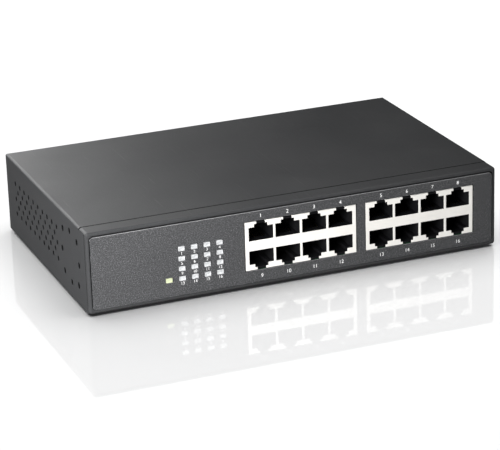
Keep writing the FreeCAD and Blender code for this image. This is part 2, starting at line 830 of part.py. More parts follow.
def jack_housing(block):
    """The moulded body inside the skin, with eight stepped ports."""
    body = new_body("jack_housing_" + block)
    centre = JACK_CENTRES[block]
    inset = "(skin + fit)"
    outer = sketch_on(body, "XY_Plane", BOARD_TOP)
    draw_rectangle(outer, f"{centre} - jack_wide / 2 + {inset}", f"{JACK_FACE} + {inset}",
                   f"{centre} + jack_wide / 2 - {inset}", f"{JACK_BACK} - {inset}")
    pad(body, outer, f"jack_tall - {inset}", "+z")
    jack_ports(body, block, f"({JACK_FACE} + {inset})", "port_deep", False)
    return body


def jack_contacts(block):
    """Sloping wires: each leaves its port's wall and ends on the port's back."""
    body = new_body("jack_contacts_" + block)
    start = f"({JACK_FACE} + contact_start)"
    end = f"({JACK_FACE} + skin + fit + port_deep)"
    row_wide = f"({CONTACTS - 1} * contact_pitch)"
    for column in range(PORTS_ACROSS):
        wires = sketch_on(body, "YZ_Plane", f"{port_x(block, column)} - ({row_wide} + contact_wide) / 2")
        for (face_low, _), up in zip(ROWS.values(), (-1, 1)):
            draw_polygon(wires, [
                (start, face_low),
                (f"{start} + contact_thick", face_low),
                (end, f"{face_low} + {up} * (contact_rise - contact_thick)"),
                (end, f"{face_low} + {up} * contact_rise"),
            ])
        wire = pad(body, wires, "contact_wide", "+x")
        repeat(body, wire, "X_Axis", row_wide, CONTACTS)
    return body


# Lamps


HOLDER_FRONT = "(sheet + fit - depth / 2)"


def lamp_pipe(label, x, z):
    corner = (f"{x} - lamp_wide / 2", FRONT, f"{z} - lamp_tall / 2")
    return box(label, corner, ("lamp_wide", "sheet + lamp_deep", "lamp_tall"))


def lamp_stack(label, x, rows):
    """A column of lamps in one dark block that stands on the board."""
    high = f"{lamp_z(rows - 1)} + lamp_tall / 2 + lamp_wall"
    wide = "(lamp_wide + 2 * lamp_wall)"
    size = (wide, "lamp_deep", f"{high} - {BOARD_TOP}")
    block = box(label + "_block", (f"{x} - {wide} / 2", HOLDER_FRONT, BOARD_TOP), size)
    hole_size = ("lamp_wide + 2 * fit", "2 * lamp_deep", "lamp_tall + 2 * fit")
    holes = []
    for row in range(rows):
        corner = (f"{x} - lamp_wide / 2 - fit", FRONT, f"{lamp_z(row)} - lamp_tall / 2 - fit")
        holes.append(box(label + "_hole", corner, hole_size))
    return less(label, block, holes)


def lamps():
    columns = range(LAMP_COLUMNS)
    holders = group("lamp_holders", [lamp_stack("stack", lamp_x(column), LAMP_ROWS) for column in columns])
    pipes = group("lamp_lenses", [
        lamp_pipe("pipe", lamp_x(column), lamp_z(row)) for column in columns for row in range(LAMP_ROWS)
    ])
    power_holder = lamp_stack("power_lamp_holder", POWER_X, 1)
    power_lens = lamp_pipe("power_lamp_lens", POWER_X, LAMP_LOW)
    return [holders, pipes, power_holder, power_lens]


# Boards


MAIN_SCREWS = [
    (f"{MAIN_LEFT} + hole_inset", f"{MAIN_FRONT} + front_inset"),
    (f"{MAIN_RIGHT} - hole_inset", f"{MAIN_FRONT} + front_inset"),
    (f"{MAIN_LEFT} + hole_inset", f"{MAIN_BACK} - hole_inset"),
    (f"{MAIN_RIGHT} - hole_inset", f"{MAIN_BACK} - hole_inset"),
    (f"{JACK_LEFT} - jack_wide / 2 + magnetic_wide", f"{MAIN_BACK} - hole_inset"),
    (f"{JACK_LEFT} - jack_wide / 2 - magnetic_wide", f"{MAGNETIC_BACK} - magnetic_wide / 2"),
]
SUPPLY_SCREWS = [
    (x, y)
    for x in (f"{SUPPLY_LEFT} + hole_inset", f"{SUPPLY_RIGHT} - hole_inset")
    for y in (f"{SUPPLY_FRONT} + hole_inset", f"{SUPPLY_BACK} - hole_inset")
]


def board(label, left, front, right, back, screws):
    body = new_body(label)
    outline = sketch_on(body, "XY_Plane", BOARD_LOW)
    draw_rectangle(outline, left, front, right, back)
    for x, y in screws:
        draw_circle(outline, x, y, "screw_round + fit")
    pad(body, outline, "board_thick", "+z")
    return body


def standoffs(label, places):
    posts = []
    for x, y in places:
        post = doc.addObject("Part::Prism", "post")
        bind(post, Circumradius="standoff_round", Height="standoff")
        place(post, (x, y, FLOOR))
        bore = rod("post_bore", (x, y, FLOOR), "z", "screw_round + fit", "standoff")
        posts.append(less("standoff", post, [bore]))
    return group(label, posts)


def screws_down(label, places):
    return group(label, [screw("board_screw", (x, y, BOARD_TOP), "z") for x, y in places])


def chip(label, x, y, side, high):
    """A flat package: its moulded body over a thin skirt of leads."""
    reach = f"({side} + 2 * lead_reach)"
    body_part = standing_box(label + "_body", x, y, BOARD_TOP, (side, side, high))
    leads = standing_box(label + "_leads", x, y, BOARD_TOP, (reach, reach, "lead_foot"))
    return joined(label, [body_part, leads])


def heatsink(x, y):
    body = new_body("heatsink")
    low = f"({BOARD_TOP} + chip_tall)"
    plate = sketch_on(body, "XY_Plane", low)
    half = "sink_side / 2"
    draw_rectangle(plate, f"{x} - {half}", f"{y} - {half}", f"{x} + {half}", f"{y} + {half}")
    pad(body, plate, "sink_base", "+z")
    fin = sketch_on(body, "XY_Plane", f"{low} + sink_base")
    row = f"{SINK_FINS - 1} * sink_pitch"
    first = f"{x} - ({row} + sink_fin) / 2"
    draw_rectangle(fin, first, f"{y} - {half}", f"{first} + sink_fin", f"{y} + {half}")
    blade = pad(body, fin, "sink_tall - sink_base", "+z")
    repeat(body, blade, "X_Axis", row, SINK_FINS)
    return body


def main_board_parts():
    sink_y = f"({MAGNETIC_BACK} + sink_back + sink_side / 2)"
    phy_y = f"({MAGNETIC_BACK} + phy_back + phy_side / 2)"
    magnetic_y = f"({MAGNETIC_BACK} - magnetic_deep / 2)"
    modules = [
        standing_box("module", port_x(block, column), magnetic_y, BOARD_TOP,
                     ("magnetic_wide", "magnetic_deep", "magnetic_tall"))
        for block in JACK_CENTRES
        for column in range(PORTS_ACROSS)
    ]
    row_y = f"({phy_y} + phy_side / 2 + lead_reach + small_back + coil_side / 2)"
    sink_edge = "(sink_side / 2)"
    coil_x = f"({CORE_X} + {sink_edge} + coil_gap)"
    capacitors = [
        rod("filter_capacitor", (f"{coil_x} + coil_side + {number} * filter_pitch", row_y, BOARD_TOP),
            "z", "filter_round", "filter_tall")
        for number in range(3)
    ]
    crystal_x = f"({CORE_X} - {sink_edge} - crystal_wide)"
    flash_x = f"({crystal_x} - crystal_wide - flash_wide)"
    phys = [chip("phy", centre, phy_y, "phy_side", "phy_tall") for centre in JACK_CENTRES.values()]
    return [
        group("magnetics", modules),
        group("phy_chips", phys),
        chip("switch_chip", CORE_X, sink_y, "chip_side", "chip_tall"),
        heatsink(CORE_X, sink_y),
        standing_box("crystal", crystal_x, row_y, BOARD_TOP,
                     ("crystal_wide", "crystal_deep", "crystal_tall")),
        standing_box("flash_chip", flash_x, row_y, BOARD_TOP, ("flash_wide", "flash_deep", "flash_tall")),
        standing_box("power_coil", coil_x, row_y, BOARD_TOP, ("coil_side", "coil_side", "coil_tall")),
        group("filter_capacitors", capacitors),
    ]


# Power supply

HEADER_X = f"({SUPPLY_LEFT} + 2 * hole_inset + header_side)"
HEADER_FRONT = f"({SUPPLY_FRONT} + hole_inset / 2)"
OUTPUT_X = f"({SUPPLY_RIGHT} - hole_inset - socket_side / 4)"
OUTPUT_Y = f"({SUPPLY_FRONT} + supply_deep / 2)"
INPUT_X = f"({CORE_X} + sink_side / 2 + socket_gap + socket_side / 2)"
INPUT_Y = f"({MAIN_BACK} - socket_back - socket_thin / 2)"
SOCKET_MID = "header_tall / 2"


def transformer(x, y):
    """A ferrite core with two windows and the wound bobbin that fills them."""
    core = standing_box("core_block", x, y, BOARD_TOP, ("core_wide", "core_deep", "core_tall"))
    window_tall = "(core_tall - 2 * core_leg)"
    windows = standing_box("core_windows", x, y, f"{BOARD_TOP} + core_leg",
                           ("core_wide - 2 * core_leg", "2 * core_deep", window_tall))
    ring = less("transformer_core", core, [windows])
    gap = "(2 * fit)"
    winding_size = (f"core_wide - 2 * core_leg - {gap}", "core_deep + core_leg", f"{window_tall} - {gap}")
    winding = standing_box("transformer_winding", x, y, f"{BOARD_TOP} + core_leg + fit", winding_size)
    return [ring, winding]


def choke(x, y):
    """A wound ring that lies on the board."""
    tall = "2 * choke_wire"
    ring = rod("choke_ring", (x, y, BOARD_TOP), "z", "choke_round + choke_wire", tall)
    bore = rod("choke_bore", (x, y, BOARD_TOP), "z", "choke_round - choke_wire", tall)
    return less("choke", ring, [bore])


def supply_parts():
    middle = f"({SUPPLY_FRONT} + supply_deep / 2)"
    fuse_y = f"({HEADER_FRONT} + header_side + fuse_deep)"
    choke_y = f"({SUPPLY_BACK} - choke_round - choke_wire - choke_back)"
    bulk_x = f"({HEADER_X} + header_side + choke_wire + bulk_round)"
    fin_x = f"({bulk_x} + bulk_round + fin_thick)"
    transistor_x = f"({fin_x} + fin_thick / 2 + transistor_thick / 2)"
    core_x = f"({transistor_x} + transistor_thick + core_wide / 2)"
    output_x = f"({core_x} + core_wide / 2 + 2 * output_round)"
    outputs = [
        rod("output_capacitor", (output_x, f"{middle} + {step} * output_pitch", BOARD_TOP),
            "z", "output_round", "output_tall")
        for step in (-1, 0, 1)
    ]
    socket = ("socket_side", "socket_thin", "header_tall")
    return transformer(core_x, middle) + [
        standing_box("fuse", HEADER_X, fuse_y, BOARD_TOP, ("fuse_wide", "fuse_deep", "fuse_tall")),
        choke(HEADER_X, choke_y),
        group("bulk_capacitor", [rod("can", (bulk_x, middle, BOARD_TOP), "z", "bulk_round", "bulk_tall")]),
        standing_box("supply_heatsink", fin_x, middle, BOARD_TOP, ("fin_thick", "fin_deep", "fin_tall")),
        standing_box("power_transistor", transistor_x, middle, BOARD_TOP,
                     ("transistor_thick", "transistor_wide", "transistor_tall")),
        group("output_capacitors", outputs),
        standing_box("mains_header", HEADER_X, f"({HEADER_FRONT} + header_side / 2)", BOARD_TOP,
                     ("header_side", "header_side", "header_tall")),
        standing_box("supply_socket", OUTPUT_X, OUTPUT_Y, BOARD_TOP, socket),
        standing_box("board_socket", INPUT_X, INPUT_Y, BOARD_TOP, socket),
    ]


def supply_insulator():
    """A sheet on the base under the supply board, holed for its standoffs."""
    body = new_body("supply_insulator")
    outline = sketch_on(body, "XY_Plane", FLOOR)
    draw_rectangle(outline, SUPPLY_LEFT, SUPPLY_FRONT, SUPPLY_RIGHT, SUPPLY_BACK)
    for x, y in SUPPLY_SCREWS:
        draw_circle(outline, x, y, "standoff_round + fit")
    pad(body, outline, "insulator", "+z")
    return body


# Mains inlet


def inlet_body():
    body = new_body("inlet_body")
    flange = sketch_on(body, "XZ_Plane", f"-{REAR_OUT}")
    shoulder = ("inlet_wide / 2", "inlet_flange_tall / 2")
    end = ("inlet_flange_wide / 2", "inlet_flange_end / 2")
    outline = []
    for quarter, (across, up) in enumerate(((1, -1), (1, 1), (-1, 1), (-1, -1))):
        points = [
            (f"{INLET_X} + {across} * {wide}", f"{INLET_Z} + {up} * {high}")
            for wide, high in (shoulder, end)
        ]
        outline += points if quarter % 2 == 0 else points[::-1]
    draw_polygon(flange, outline)
    for side in (-1, 1):
        draw_circle(flange, f"{INLET_X} + {side} * inlet_span", INLET_Z, "screw_round + 2 * fit")
    pad(body, flange, "inlet_flange", "+y")
    shell = sketch_on(body, "XZ_Plane", f"-{REAR_OUT}")
    draw_rectangle(shell, f"{INLET_X} - inlet_wide / 2", f"{INLET_Z} - inlet_tall / 2",
                   f"{INLET_X} + inlet_wide / 2", f"{INLET_Z} + inlet_tall / 2")
    pad(body, shell, "inlet_deep", "-y")
    socket = sketch_on(body, "XZ_Plane", f"-({REAR_OUT} + inlet_flange)")
    left, right = f"{INLET_X} - socket_wide / 2", f"{INLET_X} + socket_wide / 2"
    low, high = f"{INLET_Z} - socket_tall / 2", f"{INLET_Z} + socket_tall / 2"
    draw_polygon(socket, [
        (left, low),
        (right, low),
        (right, f"{high} - socket_bevel"),
        (f"{right} - socket_bevel", high),
        (f"{left} + socket_bevel", high),
        (left, f"{high} - socket_bevel"),
    ])
    pocket(body, socket, "socket_deep", "-y")
    slots = sketch_on(body, "XZ_Plane", f"-({REAR_OUT} + inlet_flange)")
    half_wide, half_tall = "(pin_wide / 2 + fit)", "(pin_tall / 2 + fit)"
    for x, z in PIN_PLACES:
        draw_rectangle(slots, f"{x} - {half_wide}", f"{z} - {half_tall}",
                       f"{x} + {half_wide}", f"{z} + {half_tall}")
    pocket(body, slots, "inlet_deep + inlet_flange", "-y")
    return body


LIVE = (f"({INLET_X} - pin_span)", f"({INLET_Z} - pin_rise)")
NEUTRAL = (f"({INLET_X} + pin_span)", f"({INLET_Z} - pin_rise)")
EARTH = (INLET_X, f"({INLET_Z} + pin_rise)")
PIN_PLACES = [LIVE, NEUTRAL, EARTH]


def inlet_pins():
    pins = []
    back = f"({REAR_OUT} - inlet_deep)"
    tip = f"({REAR_OUT} + inlet_flange - pin_recess)"
    for x, z in PIN_PLACES:
        low = f"{z} - pin_tall / 2"
        blade = box("blade", (f"{x} - pin_wide / 2", back, low), ("pin_wide", f"{tip} - {back}", "pin_tall"))
        tab = box("tab", (f"{x} - tab_thick / 2", TAB_END, low), ("tab_thick", "2 * tab_long", "pin_tall"))
        pins.append(joined("pin", [blade, tab]))
    return group("inlet_pins", pins)


def rear_screws():
    inlet_seat = f"({REAR_OUT} + inlet_flange)"
    inlet_screws = [
        screw("inlet_screw", (f"({INLET_X} + {side} * inlet_span)", inlet_seat, INLET_Z), "y")
        for side in (-1, 1)
    ]
    cover_screws = [
        screw("cover_screw", (f"({step} * lip_screw_span)", BACK, f"({CEILING} - lip_screw_drop)"), "y")
        for step in (-1, 0, 1)
    ]
    ground_x = f"(ground_side - {SIDE})"
    ring = rod("ring", (ground_x, REAR_OUT, INLET_Z), "y", "washer_round", "washer")
    bore = rod("ring_bore", (ground_x, REAR_OUT, INLET_Z), "y", "screw_round + fit", "washer")
    return [
        group("inlet_screws", inlet_screws),
        group("cover_screws", cover_screws),
        screw("ground_screw", (ground_x, f"({REAR_OUT} + washer)", INLET_Z), "y"),
        less("ground_washer", ring, [bore]),
    ]


# Leads inside the case

STUD = (f"(stud_side - {SIDE})", f"({BACK} - stud_back)")


def earth_terminal():
    """A blade riveted to the base and the sleeve pushed on it."""
    x, y = STUD
    plate = standing_box("terminal_plate", x, y, FLOOR, ("plate_wide", "sleeve_deep", "tab_thick"))
    blade = standing_box("terminal_blade", x, y, FLOOR, ("tab_thick", "blade_deep", "stud_tall - tab_thick"))
    sleeve = standing_box("terminal_sleeve", x, y, f"{FLOOR} + stud_tall / 2",
                          ("sleeve_wide", "sleeve_deep", "stud_tall / 2"))
    return joined("earth_terminal", [plate, blade, sleeve])


def offset(origin, moves):
    return [FreeCAD.Vector(*origin) + FreeCAD.Vector(*move) for move in moves]


def spot(x, y, z):
    return tuple(value(text) for text in (x, y, z))


def smooth_path(points):
    """Straight runs joined by tangent arcs, each as large as its two runs allow."""
    edges, radii = [], []
    here = points[0]
    for before, corner, after in zip(points, points[1:], points[2:]):
        inward, outward = (corner - before), (after - corner)
        turn = inward.getAngle(outward)
        cut = 0.45 * min(inward.Length, outward.Length)
        radii.append(cut / math.tan(turn / 2))
        start = corner - inward.normalize() * cut
        end = corner + outward.normalize() * cut
        middle = corner + (start + end - corner * 2).normalize() * radii[-1] * (1 / math.cos(turn / 2) - 1)
        edges += [Part.LineSegment(here, start).toShape(), Part.Arc(start, middle, end).toShape()]
        here = end
    edges.append(Part.LineSegment(here, points[-1]).toShape())
    return Part.Wire(edges), radii


def wire_ring(centre, way, radius):
    """The outline of a wire's section, with a few flat sides in place of a circle."""
    across = way.cross(FreeCAD.Vector(0, 0, 1)).normalize() * radius
    corners = []
    for side in range(WIRE_SIDES + 1):
        turn = FreeCAD.Rotation(way, 360 * side / WIRE_SIDES)
        corners.append(centre + turn.multVec(across))
    return Part.makePolygon(corners)


def lead(label, points, radius_name):
    radius = value(radius_name)
    path, radii = smooth_path(points)
    ring = wire_ring(points[0], points[1] - points[0], radius)
    item = doc.addObject("Part::Feature", label)
    item.Shape = path.makePipeShell([ring], True, False)
    item.Placement = FreeCAD.Placement()
    ideal = Part.Face(ring).Area * path.Length
    bends = ", ".join(f"{bend:.1f}" for bend in radii)
    print(f"{label}: {path.Length:.1f} mm, bend radii {bends}, volume ratio {item.Shape.Volume / ideal:.4f}")
    return item


def mains_leads():
    middle = value(f"{BOARD_TOP} + {SOCKET_MID}")
    ends = [
        (value(HEADER_X) + side * value("wire_pitch") / 2, value(HEADER_FRONT), middle)
        for side in (-1, 1)
    ]
    neutral_tab = spot(NEUTRAL[0], TAB_END, NEUTRAL[1])
    live_tab = spot(LIVE[0], TAB_END, LIVE[1])
    earth_tab = spot(EARTH[0], TAB_END, EARTH[1])
    stud_top = spot(STUD[0], STUD[1], f"{FLOOR} + stud_tall")
    dip = value("mains_dip")
    neutral = offset(neutral_tab, [
        (0, 0, 0),
        (0, -value("neutral_out"), 0),
        (value("neutral_side"), -value("neutral_ahead"), -dip),
    ])
    neutral += offset(ends[0], [(0, -value("neutral_in"), 0), (0, 0, 0)])
    live = offset(live_tab, [
        (0, 0, 0),
        (0, -value("live_out"), 0),
        (value("live_side"), -value("live_ahead"), -dip),
    ])
    live += offset(ends[1], [(0, -value("live_in"), 0), (0, 0, 0)])
    earth = offset(earth_tab, [
        (0, 0, 0),
        (0, -value("earth_out"), 0),
        (-value("earth_side"), -value("earth_ahead"), value("earth_climb")),
    ])
    earth += offset(stud_top, [(0, 0, value("earth_drop")), (0, 0, 0)])
    return [
        lead("neutral_lead", neutral, "wire"),
        lead("live_lead", live, "wire"),
        lead("earth_lead", earth, "wire"),
    ]


def beside(points, shift):
    """A route that keeps its distance to another on its left, or on its right if negative."""
    lefts = []
    for point, following in zip(points, points[1:]):
        way = following - point
        lefts.append(FreeCAD.Vector(-way.y, way.x, 0).normalize())
    moved = []
    for point, left, next_left in zip(points, [lefts[0]] + lefts, lefts + [lefts[-1]]):
        middle = (left + next_left).normalize()
        moved.append(point + middle * (shift / middle.dot(left)))
    return moved


def supply_leads():
    """Two wires side by side from the supply's socket to the main board's."""
    start = spot(f"{OUTPUT_X} + socket_side / 2", OUTPUT_Y, f"{BOARD_TOP} + {SOCKET_MID}")
    end = spot(INPUT_X, f"{INPUT_Y} + socket_thin / 2", f"{BOARD_TOP} + {SOCKET_MID}")
    bend_out = value("thin_out") + THIN_SHARE * (end[0] - start[0])
    middle = offset(start, [
        (0, 0, 0),
        (value("thin_out"), 0, 0),
        (bend_out, -value("thin_ahead"), value("thin_climb")),
    ])
    middle += offset(end, [(0, value("thin_in"), 0), (0, 0, 0)])
    half = value("thin_pitch") / 2
    return [
        lead("supply_lead_plus", beside(middle, half), "thin_wire"),
        lead("supply_lead_minus", beside(middle, -half), "thin_wire"),
    ]


def check(parts):
    """Every object recomputed well, every cut removed metal and every piece is sound."""
    for item in doc.Objects:
        if {"Invalid", "Error"} & set(item.State):
            raise RuntimeError(f"{item.Label} failed: {item.State}")
        if item.TypeId == "PartDesign::Pocket" and item.BaseFeature:
            if item.Shape.Volume >= item.BaseFeature.Shape.Volume:
                raise RuntimeError(f"{item.Label} cuts nothing")
    for part in parts:
        if part.Shape.isNull() or not part.Shape.isValid() or not part.Shape.Solids:
            raise RuntimeError(f"{part.Label} is not sound")


def main():
    fill_sheet()
    parts = [top_cover(), chassis(), front_overlay(), rubber_feet()]
    for block in JACK_CENTRES:
        parts += [jack_shield(block), jack_housing(block), jack_contacts(block)]
    parts += lamps()
    parts.append(board("main_board", MAIN_LEFT, MAIN_FRONT, MAIN_RIGHT, MAIN_BACK, MAIN_SCREWS))
    parts.append(standoffs("board_standoffs", MAIN_SCREWS))
    parts.append(screws_down("board_screws", MAIN_SCREWS))
    parts += main_board_parts()
    parts.append(board("supply_board", SUPPLY_LEFT, SUPPLY_FRONT, SUPPLY_RIGHT, SUPPLY_BACK, SUPPLY_SCREWS))
    parts.append(standoffs("supply_standoffs", SUPPLY_SCREWS))
    parts.append(screws_down("supply_screws", SUPPLY_SCREWS))
    parts.append(supply_insulator())
    parts += supply_parts()
    parts += [inlet_body(), inlet_pins()]
    parts += rear_screws()
    parts.append(earth_terminal())
    parts += mains_leads()
    parts += supply_leads()
    doc.recompute()
    check(parts)
    os.makedirs("parts", exist_ok=True)
    for part in parts:
        part.Shape.exportStep(f"parts/{part.Label}.step")
        print(f"{part.Label}: {len(part.Shape.Solids)} solids, {part.Shape.Volume:.1f} mm3")
    print(f"{len(parts)} parts written")


main()
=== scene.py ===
import json
import math

import bmesh
import bpy
from mathutils import Matrix, Vector

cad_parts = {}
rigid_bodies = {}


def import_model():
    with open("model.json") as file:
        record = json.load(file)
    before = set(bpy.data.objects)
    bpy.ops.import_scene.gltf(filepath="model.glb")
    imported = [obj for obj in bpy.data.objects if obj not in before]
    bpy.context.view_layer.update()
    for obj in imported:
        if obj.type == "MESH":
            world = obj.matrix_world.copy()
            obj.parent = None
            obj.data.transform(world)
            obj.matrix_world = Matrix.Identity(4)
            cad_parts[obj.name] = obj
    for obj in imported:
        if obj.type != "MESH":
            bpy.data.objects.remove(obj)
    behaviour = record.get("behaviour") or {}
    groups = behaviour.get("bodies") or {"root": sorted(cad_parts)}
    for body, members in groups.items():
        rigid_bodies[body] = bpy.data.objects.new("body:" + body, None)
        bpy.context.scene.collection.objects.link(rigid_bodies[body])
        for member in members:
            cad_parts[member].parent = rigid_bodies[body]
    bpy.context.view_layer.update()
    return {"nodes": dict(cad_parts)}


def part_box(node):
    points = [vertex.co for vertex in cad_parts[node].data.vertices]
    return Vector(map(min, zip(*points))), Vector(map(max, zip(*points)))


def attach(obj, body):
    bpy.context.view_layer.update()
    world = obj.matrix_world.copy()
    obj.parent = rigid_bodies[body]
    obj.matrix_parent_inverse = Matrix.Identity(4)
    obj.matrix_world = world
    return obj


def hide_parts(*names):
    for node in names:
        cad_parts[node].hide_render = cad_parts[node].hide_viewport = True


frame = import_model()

# Desktop network switch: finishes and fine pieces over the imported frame, in metres.

cadNodes = frame["nodes"]
scene = bpy.context.scene
near = 0.0001  # how close a point lies to count as on a face
touch = 0.00001  # the same for small turned pieces
print("frame loaded with", len(cadNodes), "nodes")


# camera, light and floor

cameraSettings = {
    "place": (-0.4023, -1.0412, 0.4195),
    "ahead": (0.339, 0.875, -0.347),
    "right": (0.928, -0.371, -0.030),
    "lens": 167.0,
}

# "lights" keeps a softbox to the part or to the floor; without "glare" it fills, but never mirrors
softboxSettings = {
    "key": {"place": (-0.30, -0.29, 0.15), "aim": (-0.08, -0.05, 0.02), "size": (0.26, 0.20),
            "power": 6.0, "lights": "part", "glare": False},
    "rear": {"place": (-0.18, 0.55, 0.27), "aim": (-0.03, 0.0, 0.04), "size": (0.54, 0.46),
             "power": 2.8, "lights": "part", "glare": True},
    "overhead": {"place": (0.0, -0.1, 1.5), "aim": (0.0, 0.0, 0.0), "size": (1.6, 1.6),
                 "power": 8.0, "lights": "all", "glare": True},
    "wash": {"place": (0.0, 0.4, 2.0), "aim": (0.0, 0.4, 0.0), "size": (3.4, 3.0),
             "power": 52.0, "lights": "floor", "glare": True},
    "backdrop": {"place": (0.75, 2.1, 0.95), "aim": (0.0, 0.0, 0.1), "size": (3.6, 1.7),
                 "power": 20.0, "lights": "floor", "glare": True},
    "under": {"place": (0.0, 0.0, -0.8), "aim": (0.0, 0.0, 0.0), "size": (2.4, 2.4),
              "power": 16.0, "lights": "part", "glare": False},
}
skySettings = {"color": (0.95, 0.97, 1.0), "strength": 0.08}
floorSettings = {"size": 8.0, "drop": 0.0002}

scene.view_settings.view_transform = "Standard"

ahead = Vector(cameraSettings["ahead"]).normalized()
right = Vector(cameraSettings["right"])
right = (right - ahead * right.dot(ahead)).normalized()
up = right.cross(ahead)
bpy.ops.object.camera_add(location=cameraSettings["place"])
camera = bpy.context.object
camera.name = "viewCamera"
camera.data.lens = cameraSettings["lens"]
camera.data.clip_start = 0.01
camera.rotation_euler = Matrix((right, up, -ahead)).transposed().to_euler()
scene.camera = camera

bpy.ops.mesh.primitive_plane_add(size=floorSettings["size"], location=(0.0, 0.0, -floorSettings["drop"]))
floor = bpy.context.object
floor.name = "stageFloor"


def addSoftbox(name, settings):
    bpy.ops.object.light_add(type="AREA", location=settings["place"])
    lamp = bpy.context.object
    lamp.name = name
    lamp.data.shape = "RECTANGLE"
    lamp.data.size, lamp.data.size_y = settings["size"]
    lamp.data.energy = settings["power"]
    toward = Vector(settings["aim"]) - Vector(settings["place"])
    lamp.rotation_euler = toward.to_track_quat("-Z", "Y").to_euler()
    lamp.visible_camera = False
    lamp.visible_glossy = settings["glare"]
    if settings["lights"] != "all":
        lit = bpy.data.collections.new(name + "Lit")
        lit.objects.link(floor)
        lamp.light_linking.receiver_collection = lit
        state = "INCLUDE" if settings["lights"] == "floor" else "EXCLUDE"
        lit.collection_objects[0].light_linking.link_state = state
        if settings["place"][2] < 0:
            lamp.light_linking.blocker_collection = lit  # the floor lets this one through to the underside


for boxName, boxSettings in softboxSettings.items():
    addSoftbox(boxName + "Softbox", boxSettings)

sky = bpy.data.worlds.new("studioSky")
scene.world = sky
sky.use_nodes = True
skyShade = sky.node_tree.nodes["Background"]
skyShade.inputs["Color"].default_value = (*skySettings["color"], 1.0)
skyShade.inputs["Strength"].default_value = skySettings["strength"]
print("camera and softboxes placed")


# modelling helpers


def selectOnly(*pieces):
    for item in bpy.context.view_layer.objects:
        item.select_set(False)
    for item in pieces:
        item.select_set(True)
    bpy.context.view_layer.objects.active = pieces[-1]


def startPicking(piece, kind):
    bpy.ops.object.mode_set(mode="EDIT")
    bpy.ops.mesh.select_mode(type=kind)
    bpy.ops.mesh.select_all(action="DESELECT")
    return bmesh.from_edit_mesh(piece.data)


def pickFaces(piece, test):
    # faces are picked by their centre and normal; leaves the piece in edit mode
    shape = startPicking(piece, "FACE")
    for face in shape.faces:
        face.select_set(test(face.calc_center_median(), face.normal))
    bmesh.update_edit_mesh(piece.data)


def pickEdges(piece, test):
    # edges are picked by their two ends; leaves the piece in edit mode
    shape = startPicking(piece, "EDGE")
    for edge in shape.edges:
        edge.select_set(test(edge.verts[0].co, edge.verts[1].co))
    bmesh.update_edit_mesh(piece.data)


def pickAll():
    bpy.ops.object.mode_set(mode="EDIT")
    bpy.ops.mesh.select_all(action="SELECT")


def objectMode():
    bpy.ops.object.mode_set(mode="OBJECT")


def placeIntoMesh():
    bpy.ops.object.transform_apply(location=True, rotation=True, scale=True)


def deletePieces(*pieces):
    selectOnly(*pieces)
    bpy.ops.object.delete()


def applyModifier(piece, kind, **values):
    modifier = piece.modifiers.new(kind.title(), kind)
    for key, setting in values.items():
        setattr(modifier, key, setting)
    selectOnly(piece)
    bpy.ops.object.modifier_apply(modifier=modifier.name)


def smoothShade(piece, angle):
    selectOnly(piece)
    bpy.ops.object.shade_smooth_by_angle(angle=math.radians(angle))


def softEdges(piece, width, segments=2, angle=35):
    # every hard edge gets a small round, and flat faces stay flat in the shading
    applyModifier(piece, "BEVEL", width=width, segments=segments, limit_method="ANGLE",
                  angle_limit=math.radians(angle), harden_normals=False)
    smoothShade(piece, angle)
    applyModifier(piece, "WEIGHTED_NORMAL", keep_sharp=True)


def nodeCopy(nodeName, pieceName):
    # a copy of a node of the frame, its loose triangles merged into one skin
    selectOnly(cadNodes[nodeName])
    bpy.ops.object.duplicate()
    piece = bpy.context.object
    piece.name = pieceName
    piece.parent = None
    for key in list(piece.keys()):
        del piece[key]
    pickAll()
    bpy.ops.mesh.remove_doubles(threshold=0.000001)
    bpy.ops.mesh.dissolve_limited(angle_limit=math.radians(0.3))
    objectMode()
    return piece


def addBox(name, low, high):
    bpy.ops.object.select_all(action="DESELECT")
    bpy.ops.mesh.primitive_cube_add(size=1.0, location=(low + high) / 2, scale=high - low)
    box = bpy.context.object
    box.name = name
    placeIntoMesh()
    return box


def addRod(name, sides, radius, tall):
    # an upright cylinder that stands on z = 0
    bpy.ops.object.select_all(action="DESELECT")
    bpy.ops.mesh.primitive_cylinder_add(vertices=sides, radius=radius, depth=tall,
                                        location=(0.0, 0.0, tall / 2))
    rod = bpy.context.object
    rod.name = name
    placeIntoMesh()
    return rod


def cutCross(piece, middle, reach):
    # two crossed slots, reach being half their length, half their width and their depth
    turned = Vector((reach.y, reach.x, reach.z))
    cutters = [addBox("slotAlong", middle - reach, middle + reach),
               addBox("slotAcross", middle - turned, middle + turned)]
    for cutter in cutters:
        applyModifier(piece, "BOOLEAN", operation="DIFFERENCE", object=cutter, solver="EXACT")
    deletePieces(*cutters)


def looseBoxes(nodeName):
    # lowest and highest corner of each separate solid in a node
    probe = nodeCopy(nodeName, nodeName + "Probe")
    selectOnly(probe)
    bpy.ops.mesh.separate(type="LOOSE")
    solids = list(bpy.context.selected_objects)
    boxes = []
    for solid in solids:
        places = [corner.co for corner in solid.data.vertices]
        low = Vector([min(place[axis] for place in places) for axis in range(3)])
        high = Vector([max(place[axis] for place in places) for axis in range(3)])
        boxes.append((low, high))
    deletePieces(*solids)
    return sorted(boxes, key=lambda box: tuple(box[0]))


def joinPieces(name, pieces):
    selectOnly(*pieces)
    if len(pieces) > 1:
        bpy.ops.object.join()
    whole = bpy.context.object
    whole.name = name
    return whole


def placeCopies(name, model, spots):
    # copies of a model, each turned and moved by its own matrix, joined; the model goes
    twins = []
    for spot in spots:
        twin = model.copy()
        twin.data = model.data.copy()
        bpy.context.collection.objects.link(twin)
        twin.data.transform(spot)
        twins.append(twin)
    deletePieces(model)
    return joinPieces(name, twins)


def turnAbout(axis, degrees):
    return Matrix.Rotation(math.radians(degrees), 4, axis)


